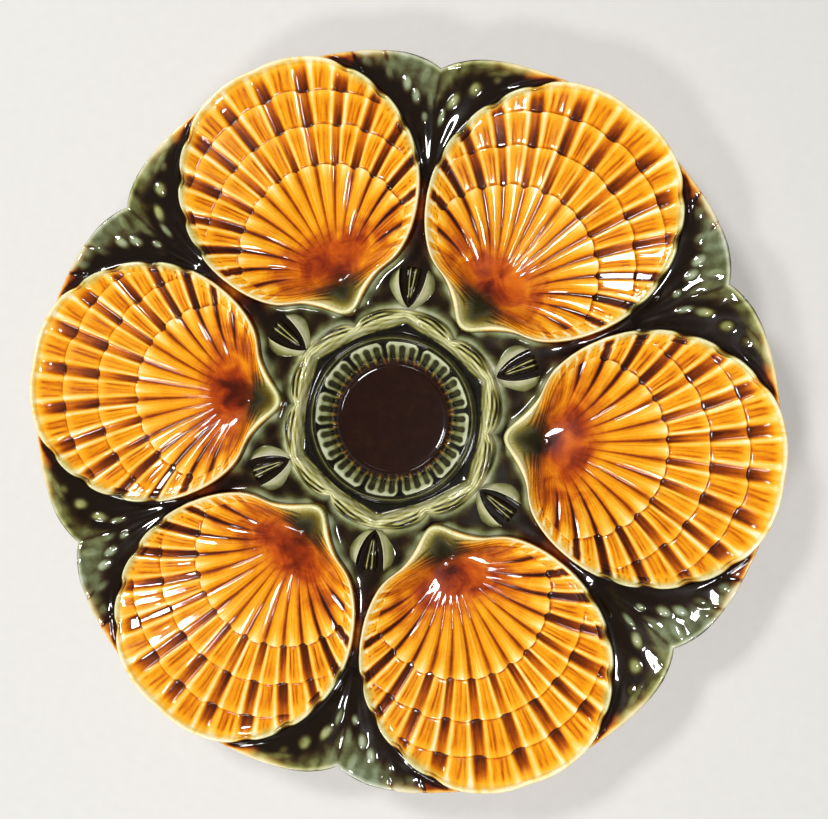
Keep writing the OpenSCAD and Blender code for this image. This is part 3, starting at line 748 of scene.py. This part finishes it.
def ripples(x, y):
    """The slow waves of a thick glaze, between -1 and 1."""
    return (np.sin(0.9 * x + 1.3 * np.sin(0.31 * y)) + np.sin(0.7 * y + 1.1 * np.sin(0.43 * x))) / 2


# Channel and pool: a fillet climbs to the lips on both sides, and the glaze thins on it by the
# hinges, along the wreath and in the middle of the channel, where it shows warm brown
axis_r = np.linspace(WREATH_OUT - 0.8, HINGE_TIP, 10)[:-1]
axis_x, axis_y = between(axis_r, np.zeros(len(axis_r)))
side_x, side_y = along_wells(180, PANEL_B)
row_x = np.append(axis_x, side_x)
row_y = np.append(axis_y, side_y)
u = sin_of(90 * np.linspace(-1, 1, CHANNEL_COLUMNS))[None, :]
x, y = land_plan(row_x, row_y, u)
pool_end = wreath_edge(SIXTH / 2) + POOL_L
climb = ease(np.repeat(row_y[:, None], u.shape[1], axis=1), pool_end, panel_y)
from_wall = (1 - np.abs(u)) * row_x[:, None]
walled = ease(np.arange(len(row_x)), len(axis_r), len(axis_r) + 8)[:, None]
by_hinge = (1 - ease(y, 50, 62)) * walled
fillet = mix(FILLET_H * np.exp(-from_wall / FILLET_RUN),
             HINGE_FILLET_H * np.exp(-from_wall / HINGE_FILLET_RUN), by_hinge)
z = mix(POOL_H, CHANNEL_H, climb) + walled * fillet
z = z + 0.07 * ripples(x, y) * ease(from_wall, 0, 2)
warm = bell(y - WARM_Y, 9)
from_wreath = np.hypot(x, y) - wreath_edge(SIXTH / 2 - np.abs(angle_of(x, y)))
shore = np.maximum(1.2 * bell(from_wreath, 2.3), by_hinge * np.exp(-(from_wall / 1.9) ** 1.6))
tip = bell(x, 4.5) * bell(from_wreath, 2) * (from_wreath < 8)
patchy = by_hinge * (0.5 + 0.5 * ripples(x, 1.3 * y))
thick = 1.08 - 0.28 * warm - 0.66 * shore - 0.3 * patchy - 0.34 * tip
channel_mesh = slab_mesh("channel", np.stack([x, y, z], axis=-1), 4, under_height,
                         thickness=thick, amber_run=warm, moss_run=0.5 + 0 * thick)

# Panel: bladders and leaves as ovals, each with its middle, half width, half length, turn in
# degrees, height, and how thin the glaze is on it, all in millimetres from the gap's axis
BLADDERS = [
    (-10.4, 108.9, 2.1, 3.1, 16, 0.5, 0.74), (-7.0, 105.2, 1.8, 3.0, 12, 0.5, 0.72),
    (-3.3, 99.0, 1.35, 1.9, 12, 0.4, 0.66), (-16.6, 111.6, 1.9, 3.4, 24, 0.35, 0.46),
    (-14.4, 115.2, 1.5, 1.9, 10, 0.2, 0.46), (-24.2, 114.2, 2.4, 2.8, 44, 0.3, 0.42),
    (11.9, 108.9, 2.2, 2.9, -36, 0.5, 0.7), (5.3, 104.3, 1.9, 3.3, -28, 0.5, 0.74),
    (2.1, 99.2, 1.3, 3.2, -10, 0.4, 0.7), (18.4, 112.6, 1.7, 2.2, -50, 0.25, 0.42),
]
LEAVES = [
    (-24.0, 117.0, 5.4, 2.6, 6, 0.3, 0.54), (-13.0, 116.8, 5.6, 2.6, -6, 0.3, 0.56),
    (-4.6, 111.6, 2.7, 5.4, -18, 0.35, 0.6), (-2.2, 104.9, 1.7, 4.2, 6, 0.25, 0.48),
    (3.2, 111.6, 2.2, 4.6, 16, 0.25, 0.46), (13.0, 116.6, 6.0, 2.4, 3, 0.25, 0.56),
    (24.0, 116.2, 6.0, 2.0, -8, 0.25, 0.54), (19.6, 114.6, 7.0, 1.6, 10, 0.2, 0.48),
]
RIM_INSET = 0.36
side_x, side_y = along_wells(PANEL_B, END_B)
extra = np.linspace(0, 1, 5)[1:-1]
row_x = np.concatenate([side_x[:-1], mix(side_x[-2], side_x[-1], extra), side_x[-1:]])
row_y = np.concatenate([side_y[:-1], mix(side_y[-2], side_y[-1], extra), side_y[-1:]])
u = np.linspace(-1, 1, PANEL_COLUMNS)[None, :]
u = sin_of(90 * u) * 0.35 + u * 0.65
x, y = land_plan(row_x, row_y, u)
t = clamp((row_y - panel_y) / (last_y - panel_y))[:, None]
from_wall = (1 - np.abs(u)) * row_x[:, None]
from_rim = panel_edge(angle_of(x, y)) - np.hypot(x, y)
y = y - RIM_INSET * t ** 2 * (1 - u ** 8)
walled = 1 - ease(np.abs(x), 38, 44)
z = mix(CHANNEL_H, PANEL_H, t ** 0.8)
z = z + PANEL_SWELL * bell(np.abs(u) - 0.42, 0.3) * np.sin(np.pi * 0.95 * t)
z = z + 0.5 * walled * np.exp(-from_wall / 0.8) * (1 - t ** 2)
z = z - 0.5 * bell(from_wall - 1.6, 1.2) * ease(t, 0.35, 0.8) * (1 - ease(from_rim, 6, 12))

# The frond lies outside an edge that runs outwards, slowly to the left and steeply to the right
to_right = clamp(x, 0, 40)
left_edge = np.maximum(104.5 + 0.5 * (-5 - x), 101.5)
right_edge = 101.5 + 9.5 * (1 - np.exp(-to_right / 3.5)) + 0.12 * to_right
frond = ease(y - np.where(x < 0, left_edge, right_edge), -2, 4)
relief = np.zeros_like(x)
pale = 0.46 * frond
for mx, my, wide, long, turn, high, thin in LEAVES + BLADDERS:
    px = (x - mx) * cos_of(turn) + (y - my) * sin_of(turn)
    py = (y - my) * cos_of(turn) - (x - mx) * sin_of(turn)
    oval = np.sqrt((px / wide) ** 2 + (py / long) ** 2)
    relief = np.maximum(relief, high * (0.5 + 0.5 * np.cos(np.pi * clamp(oval * 0.9))))
    pale = np.maximum(pale, thin * (1 - ease(oval, 0.25, 1.35)))
rim = bell(from_rim - 0.9, 0.8)

# Three creases cut in from the rim, and the frond's midrib below the notch
crease = bell(x + 18.6 + 0.5 * (y - 117), 0.6) * ease(y, 113.5, 116)
crease = crease + bell(x + 29.2 + 0.6 * (y - 116), 0.7)
crease = crease + 0.6 * bell(x - 6.4 - 0.3 * (y - 116), 0.7) * ease(y, 112, 115)
midrib = bell(x + 0.2 - 0.06 * (y - 108), 0.55) * ease(y, 102, 105) * (1 - ease(y, 111, 114))
crease = crease + 0.8 * midrib
under_rim = bell(from_wall - 2.2, 1.5) * ease(np.abs(x), 16, 24) * (1 - ease(np.abs(x), 36, 40))
z = z + relief + 0.3 * rim - 0.25 * crease + 0.05 * ripples(x, y)
round_off = bell(from_rim, 0.5)
z = z - 1.0 * round_off
thick = 1.04 - pale - 0.4 * rim * (1 - 0.4 * round_off) + 0.22 * crease + 0.06 * ripples(1.7 * x, y)
amber_end = ease(np.abs(x), 25, 31) * (1 - ease(from_rim, 4.5, 7)) * ease(from_wall, 0.4, 1.4)
amber_end = np.maximum(amber_end, 0.7 * bell(from_rim, 2.2) * ease(np.abs(x), 12, 24))
thick = thick - 0.3 * amber_end * (1 - crease) + 0.3 * under_rim
moss_run = mix(0.1, 0.9, ease(x, -8, 8)) * ease(y, 96, 108)
panel_mesh = slab_mesh("seaweed_panel", np.stack([x, y, z], axis=-1), 4, under_height,
                       thickness=thick, amber_run=amber_end, moss_run=moss_run)

# Brown-black lead glaze over the land. Where it thins on the fronds it is grey-green on one side
# of the notch and moss green on the other, and amber at the panel's ends.
ground_glaze, tree, surface, where, laid, amber_run, moss_run = glazed(
    "brown_black_lead_glaze", "thickness", "amber_run", "moss_run")
cloud = put(tree, "TexNoise", {"Vector": where, "Scale": 1 / (5.9 * MM), "Detail": 5, "Roughness": 0.6})
wash = put(tree, "TexNoise", {"Vector": where, "Scale": 1 / (13.3 * MM), "Detail": 4, "Distortion": 0.8})
drift = put(tree, "Math", {0: cloud, 1: 0.5, 2: -0.45}, operation="MULTIPLY_ADD")
drift = put(tree, "Math", {0: wash, 1: 0.4, 2: drift}, operation="MULTIPLY_ADD")
total = put(tree, "Math", {0: laid, 1: drift}, operation="ADD")
CELADON = [(0, "D2D8C6"), (0.2, "B4B9A2"), (0.36, "8C967A"), (0.52, "666E4E"), (0.68, "423E26"),
           (0.84, "281B0B"), (1, "180D04")]
MOSS = [(0, "E4E0B4"), (0.2, "C2BD88"), (0.36, "989A5A"), (0.52, "6E6E3C"), (0.68, "463E1C"),
        (0.84, "291C0A"), (1, "180D04")]
RIM_AMBER = [(0.2, "F6DC9C"), (0.42, "E8AE48"), (0.6, "C87A1C"), (0.76, "88380A"), (0.9, "4A1606"),
             (1, "280E06")]
celadon, moss, amber = [glaze_ramp(tree, total, stops) for stops in (CELADON, MOSS, RIM_AMBER)]
patch = put(tree, "Math", {0: wash, 1: 1.6, 2: -0.8}, operation="MULTIPLY_ADD")
patch = put(tree, "Math", {0: patch, 1: moss_run}, operation="ADD", use_clamp=True)
green = put(tree, "Mix", {0: patch, 6: celadon, 7: moss}, data_type="RGBA")
warmed = put(tree, "Mix", {0: amber_run, 6: green, 7: amber}, data_type="RGBA")
ripple = put(tree, "Bump", {"Height": cloud, "Strength": 0.25, "Distance": 0.3 * MM})
set_inputs(surface, {"Base Color": warmed, "Normal": ripple})

GAP_TURNS = [SIXTH * (k - 1) for k in range(WELLS)]
set_round(channel_mesh, "channel_floor", GAP_TURNS, "channel",
          [ground_glaze, under_glaze])
set_round(panel_mesh, "seaweed_rim_panel", GAP_TURNS, "seaweed_panel",
          [ground_glaze, under_glaze])


# ---------------------------------------------------------------- buds
# Six buds in pointed calyxes, tips to the wreath, pressed in the plate's own clay. The calyx's
# two crests are sharp and nearly bare of glaze, the hollow between them is black, and two pale
# ribs run up the bud.
BUD_L = 12.6
BUD_W = 5
BUD_H = 3.2
BUD_INSET = 1.2
CALYX_GAP = 0.4
CALYX_L = 13
CALYX_W = 9.2
CALYX_T = 2.6
CALYX_H = 2.8
CALYX_TIP = wreath_edge(SIXTH / 2) + CALYX_GAP
HOLLOW_H = 0.35
SEAT_D = 0.5
BUD_RIB_H = 0.3
BUD_GROOVE_D = 0.5


def bud_seat(r):
    return 0 * r + POOL_H - SEAT_D


# Calyx: rows from the tip outwards. Across each half, q runs from -1 in the hollow over 0 on the
# crest to 1 at the foot of the leaf's outer side, with columns that cluster at the crest.
t = np.linspace(0, 1, 60)[:, None]
crest = mix(0.3, CALYX_W / 2 + 0.2, np.sin(np.pi / 2 * t ** 0.72))
inside = np.maximum(crest - 0.5, 0.05)
side = 1.4 * CALYX_T * np.sin(np.pi * mix(0.14, 0.97, t ** 1.5)) ** 0.8
q = np.concatenate([np.linspace(-1, 0, 9)[:-1], np.linspace(0, 1, 16)])
right_x = np.where(q < 0, crest + (crest - inside) * q, crest + side * q)
tall = CALYX_H * mix(0.62, 1, sin_of(140 * t)) * (1 - ease(t, 0.88, 1) * 0.7)
right_z = np.where(q < 0, mix(tall, HOLLOW_H, clamp(-q) ** 2.5), tall * (1 - clamp(q)) ** 1.5 + 0.02)
right_z = right_z + 0.16 * np.sin(9 * q + 5 * t) * clamp(q) * (1 - clamp(q))
floor_x = inside * np.linspace(-1, 1, 13)[1:-1]
x = np.hstack([-right_x[:, ::-1], floor_x, right_x])
z = np.hstack([right_z[:, ::-1], np.full_like(floor_x, HOLLOW_H), right_z])
y = np.repeat(CALYX_TIP + CALYX_L * t, x.shape[1], axis=1)
q_all = np.concatenate([q[::-1], np.full(floor_x.shape[1], -1.2), q])[None, :] + 0 * t
down = clamp(q_all)
thick = np.where(q_all < 0, mix(0.05, 1, clamp(-q_all * 2)), 0.03 + 0.46 * down ** 0.7 + 0.3 * down ** 3)
thick = thick + 0.08 * np.sin(10 * q_all + 4 * t) * clamp(q_all * 3) * (1 - down)
thick = thick + 0.2 * ease(t, 0.85, 1) - 0.3 * down * (1 - ease(t, 0.1, 0.75))
calyx_mesh = slab_mesh("calyx", np.stack([x, y, z + POOL_H], axis=-1), 1, bud_seat,
                       thickness=thick, amber_run=0 * thick, moss_run=0.75 + 0 * thick)

# Bud: an ogive with a groove along its middle, two ribs beside it and two faint ones further out
t = np.linspace(0.03, 1, 60)[:, None]
v = np.linspace(-1, 1, 41)[None, :]
half = BUD_W / 2 * np.sin(np.pi / 2 * t ** 0.8) ** 0.9
x = half * v
y = CALYX_TIP + BUD_INSET + BUD_L * t + 0 * v
z = (BUD_H - 0.25) * np.sqrt(1 - 0.98 * v ** 2) * mix(0.5, 1, sin_of(150 * t))
rib_place = mix(0.26, 0.38, t)
bud_ribs = bell(np.abs(v) - rib_place, 0.15) + 0.3 * bell(np.abs(v) - rib_place - 0.4, 0.08)
z = z + BUD_RIB_H * bud_ribs - BUD_GROOVE_D * bell(v, 0.1) - 0.2 * bell(np.abs(v) - rib_place - 0.26, 0.1)
z = z * (1 - 0.6 * ease(t, 0.88, 1))
rib_shows = ease(t, 0.08, 0.25) * (1 - 0.7 * ease(t, 0.86, 1))
thick = 1.08 - 0.84 * bud_ribs * rib_shows - 0.2 * bell(t - 0.2, 0.12) * (1 - v ** 2)
bud_mesh = slab_mesh("bud", np.stack([x, y, np.maximum(z, 0.05) + POOL_H], axis=-1), 1, bud_seat,
                     thickness=thick, amber_run=0 * thick, moss_run=1 + 0 * thick)

set_round(calyx_mesh, "calyx", GAP_TURNS, "bud", [ground_glaze, ground_glaze])
set_round(bud_mesh, "bud_in_calyx", GAP_TURNS, "bud", [ground_glaze, ground_glaze])


# ---------------------------------------------------------------- wreath
# Ring of long leaves round the sauce well, pressed with it. From each bud two bundles of blades
# sweep down to the nearest hinges and cross there. The glaze is pale olive on the blades and
# dark between them.
WREATH_IN = 29.5
WREATH_CORNER = 3.4
MOAT_R = 28.25
MOAT_H = 13.2
WREATH_H = 4.5
BLADE_GROOVE_D = 0.8
BLADE_SWELL = 0.22
CORNER_DIP = 0.5
INSIDE = 0.1
a = np.arange(0, 360, 0.4)[None, :]
off_hinge = (a + SIXTH / 2) % SIXTH - SIXTH / 2
from_hinge = np.abs(off_hinge)
to_corner = SIXTH / 2 - from_hinge
hinge_share = from_hinge / (SIXTH / 2)
inner = WREATH_IN + WREATH_CORNER * hinge_share ** 2.7
outer = wreath_edge(from_hinge)
v = np.concatenate([np.linspace(0, 0.12, 6), np.linspace(0.12, 0.88, 27)[1:-1], np.linspace(0.88, 1, 6)])
v = v[:, None]
fold = np.abs(2 * v - 1)
twist = v - 0.13 * np.sign(off_hinge) * bell(from_hinge, 3.2)
sweep = 1 - hinge_share

# Grooves between the blades: place across the ring, half width, where each shows, and depth
blades = [
    (0.6 - 0.2 * sweep, 0.055, ease(from_hinge, 2, 6) * (1 - ease(from_hinge, 20, 28)), 0.9),
    (0.82 - 0.2 * sweep ** 1.4, 0.055, ease(from_hinge, 3, 7) * (1 - ease(from_hinge, 15, 24)), 1.0),
    (0.93 - 0.1 * sweep, 0.03, ease(from_hinge, 8, 12) * (1 - ease(from_hinge, 16, 23)), 0.6),
    (0.3 - 0.1 * sweep, 0.05, ease(from_hinge, 6, 14) * (1 - ease(from_hinge, 18, 27)), 0.5),
]
groove = np.zeros_like(v * a)
for middle, width, strength, deep in blades:
    groove = groove + deep * strength * bell(twist - middle, width)
seam = bell(to_corner, 0.5)
patch = bell(from_hinge - 23, 4) * bell(v - 0.68, 0.1)
z = MOAT_H - INSIDE + WREATH_H * (1 - fold ** 3.4) * (1 - 0.1 * bell(from_hinge, 4))
z = z - BLADE_GROOVE_D * groove - 0.2 * seam - CORNER_DIP * bell(to_corner, 2)
z = z + BLADE_SWELL * (1 - fold) * wave(3.6 * twist + 0.2)
away = ease(from_hinge, 2, 9) * (1 - 0.85 * ease(from_hinge, 17, 26))
thick = 0.2 + 0.6 * groove + 0.1 * wave(5 * v - 2 * sweep + 0.2) + 0.06 * seam * (v > 0.3)
thick = thick + 0.3 * patch + 0.4 * fold ** 4 * (v > 0.5) * away
thick = thick + 0.3 * fold ** 9 * (0.2 + 0.8 * away) + 0.12 * ease(v, 0.45, 0.6) * away
r = mix(inner, outer, v)
moat_r = mix(MOAT_R, inner, np.linspace(0, 1, 4)[:-1][:, None])
ring_r = np.vstack([np.full_like(a, MOAT_R), moat_r, r, outer + 1.5])
ring_z = np.vstack([np.full_like(a, FOOT_H), np.full_like(moat_r, MOAT_H - INSIDE), z,
                    np.full_like(a, FOOT_H + 0.02)])
ring_thick = np.vstack([np.full_like(a, 0.9), np.full_like(moat_r, 0.92), thick, np.full_like(a, 0.6)])
points = np.stack([ring_r * cos_of(a), ring_r * sin_of(a), ring_z], axis=-1)
rows, columns = ring_r.shape
grid = closed_rows(0, rows, columns)
faces = quads(grid[np.append(np.arange(rows), 0)][:, ::-1])
wreath_mesh = cast("wreath", points.reshape(-1, 3), faces, rows * columns, [grid[0, :-1], grid[-1, :-1]],
                   thickness=ring_thick, blade_v=np.vstack([0 * a, 0 * moat_r, v + 0 * a, 0 * a + 1]),
                   blade_a=hinge_share + 0 * ring_r)

# Olive lead glaze: copper and iron, pale on the crests of the blades, streaked along them
olive_glaze, tree, surface, where, laid, blade_v, blade_a = glazed(
    "olive_lead_glaze", "thickness", "blade_v", "blade_a")
bent = put(tree, "Math", {0: blade_a, 1: -0.45, 2: blade_v}, operation="MULTIPLY_ADD")
way = put(tree, "CombineXYZ", {"X": bent, "Y": blade_a})
# Streaks 0.6 mm wide and 5 mm long, where the ring is 10.56 mm over its back from edge to edge
# and 17.6 mm long from a hinge to a bud
stretch = put(tree, "Mapping", {"Vector": way, "Scale": (10.56 / 0.6, 17.6 / 5, 1)})
streak = put(tree, "TexNoise", {"Vector": stretch, "Scale": 1, "Detail": 4})
cloud = put(tree, "TexNoise", {"Vector": where, "Scale": 1 / (4.8 * MM), "Detail": 5, "Roughness": 0.6})
drift = put(tree, "Math", {0: cloud, 1: 0.3, 2: -0.38}, operation="MULTIPLY_ADD")
drift = put(tree, "Math", {0: streak, 1: 0.5, 2: drift}, operation="MULTIPLY_ADD")
total = put(tree, "Math", {0: laid, 1: drift}, operation="ADD")
LEAF_OLIVE = [(0, "EAE8C8"), (0.18, "D5D29C"), (0.34, "B0AC68"), (0.5, "7E7838"), (0.68, "423D1A"),
              (0.84, "1C190C"), (1, "0E0C08")]
olive = glaze_ramp(tree, total, LEAF_OLIVE)
ripple = put(tree, "Bump", {"Height": streak, "Strength": 0.35, "Distance": 0.3 * MM})
set_inputs(surface, {"Base Color": olive, "Normal": ripple})
set_round(wreath_mesh, "leaf_ring", [0], "leaf_wreath", [olive_glaze, under_glaze])


# ---------------------------------------------------------------- sauce well
# The round well in the middle, pressed with the rest. Its sloping side carries twelve groups of
# three slots, like a battlement, with a thin bead and a black moat outside. The flat floor is
# dark brown.
SAUCE_R = 18
SAUCE_H = 9
SLOT_BAND_R = 25.6
SLOT_BAND_H = 14.4
BEAD_H = 0.8
SLOT_W = 1.9
SLOT_D = 1.1
SLOT_FROM = 20.4
SLOT_TO = 24.6
SLOT_PITCH = 8.6
GROUP = 30
GROUPS = 12
TEETH_END = (25.35, 25.75)
BEAD_R = 26.75
BEAD_HALF = 0.42
a = np.arange(0, 360, 0.5)[None, :]

# Rows of points, closest over the slots and the bead
r = np.concatenate([np.linspace(1.5, 16.5, 11), np.linspace(17, 19.4, 13), np.linspace(19.6, 27.2, 58),
                    np.linspace(27.5, MOAT_R, 4)])[:, None]
in_group = (a + GROUP / 2) % GROUP - GROUP / 2
group_number = ((a + GROUP / 2) // GROUP).astype(int) % GROUPS
mm_per_degree = np.radians(1) * r
slope = clamp((r - SAUCE_R) / (SLOT_BAND_R - SAUCE_R))
z = mix(SAUCE_H, SLOT_BAND_H, slope) - 0.3 * bell(r - SAUCE_R - 0.4, 0.8) + 0 * a
slot = np.zeros_like(z)
hand_cut = rng.random((GROUPS, 3)) - 0.5
for k in (-1, 0, 1):
    beside = (in_group - k * SLOT_PITCH * 0.97) * mm_per_degree
    half = SLOT_W / 2 * mix(0.72, 1.16, clamp((r - SLOT_FROM) / (SLOT_TO - SLOT_FROM)))
    half = half * (1 + 0.25 * hand_cut[group_number, k + 1])
    middle = (SLOT_FROM + SLOT_TO) / 2 + 0.5 * hand_cut[group_number, k]
    beyond = np.maximum(np.abs(r - middle) - (SLOT_TO - SLOT_FROM) / 2 + half, 0)
    slot = np.maximum(slot, ease(half - np.hypot(beyond, beside), -0.25, 0.4))
to_gap = (GROUP / 2 - np.abs(in_group)) * mm_per_degree
corner = np.maximum(r - 23.9, 0) ** 2 * 0.5
group_gap = ease(0.95 + corner - to_gap, 0, 0.6) * ease(r, 19.6, 21)
beyond_teeth = ease(r, *TEETH_END)
z = z - SLOT_D * 1.2 * slot - 0.9 * group_gap * (1 - beyond_teeth)
bead = bell(r - BEAD_R, BEAD_HALF)
z = np.where(r > BEAD_R, mix(MOAT_H - INSIDE, z, clamp(1 - (r - BEAD_R) / 0.5)), z)
z = z + (BEAD_H - INSIDE) * bead
z = z - 0.4 * bell(r - 26.0, 0.35)
on_teeth = (1 - group_gap) * (1 - beyond_teeth)
tooth = (1 - slot) * on_teeth
bar_edge = slot * (1 - slot) * 4

# The glaze thins up the bars, and lies deep between them, with an amber tongue below each bar
thick = 0.97 - tooth * (0.3 * ease(r, 19.2, 20.8) + 0.3 * ease(r, 20.5, 23) + 0.2 * ease(r, 23.8, 24.8))
thick = thick + 0.1 * bar_edge * tooth - 0.24 * slot * on_teeth * ease(r, 20.5, 22)
group_off = np.abs(in_group)
to_bar = np.minimum(np.abs(group_off - SLOT_PITCH / 2), np.abs(group_off - 1.5 * SLOT_PITCH))
tongue = bell(to_bar * mm_per_degree, 0.5) * ease(r, 18, 19.6) * (1 - ease(r, 20, 21.6))
thick = thick - 0.28 * tongue - 0.3 * bead * ease(r, 26.3, 26.6)
thick = thick - 0.16 * beyond_teeth * (1 - ease(r, 27.6, 28.2))
amber_run = 0.9 * tongue + 0.9 * (1 - ease(r, 18.6, 20.6))
ring_r = np.vstack([r, [[MOAT_R]]])
ring_z = np.vstack([z, np.full_like(a, FOOT_H)])
points = np.stack([ring_r * cos_of(a), ring_r * sin_of(a), ring_z], axis=-1).reshape(-1, 3)
points = np.vstack([points, [[0, 0, SAUCE_H], [0, 0, FOOT_H]]])
rows, columns = ring_z.shape
grid = closed_rows(0, rows, columns)
middle = rows * columns
faces = quads(grid[:, ::-1]) + fan(middle, grid[0]) + fan(middle + 1, grid[-1, ::-1])
thick = np.append(np.vstack([thick, np.full_like(a, 1)]).reshape(-1), [0.9, 0.6])
amber_run = np.append(np.vstack([amber_run, 0 * a]).reshape(-1), [0.9, 0.6])
sauce_mesh = cast("sauce_well", points, faces, middle + 1, [grid[-1, :-1]], thickness=thick,
                  amber_run=amber_run)

# Dark brown lead glaze, which thins to celadon on the battlement and to amber tongues below it
sauce_glaze, tree, surface, where, laid, amber_run = glazed(
    "dark_brown_lead_glaze", "thickness", "amber_run")
cloud = put(tree, "TexNoise", {"Vector": where, "Scale": 1 / (3.8 * MM), "Detail": 5, "Roughness": 0.6})
drift = put(tree, "Math", {0: cloud, 1: 0.5, 2: -0.25}, operation="MULTIPLY_ADD")
total = put(tree, "Math", {0: laid, 1: drift}, operation="ADD")
TOOTH_CELADON = [(0, "DFE3CA"), (0.18, "C3C8A4"), (0.36, "989C70"), (0.54, "66663A"),
                 (0.72, "35321A"), (0.88, "17130B"), (1, "0F0B08")]
TONGUE_AMBER = [(0.2, "D0B050"), (0.42, "A88A2C"), (0.6, "735214"), (0.78, "3A1C08"),
                (0.9, "281004"), (1, "220C04")]
pale, tongues = [glaze_ramp(tree, total, stops) for stops in (TOOTH_CELADON, TONGUE_AMBER)]
mixed = put(tree, "Mix", {0: amber_run, 6: pale, 7: tongues}, data_type="RGBA", clamp_factor=True)
ripple = put(tree, "Bump", {"Height": cloud, "Strength": 0.15, "Distance": 0.3 * MM})
set_inputs(surface, {"Base Color": mixed, "Normal": ripple})
set_round(sauce_mesh, "sauce_bowl", [0], "sauce_well", [sauce_glaze, under_glaze])
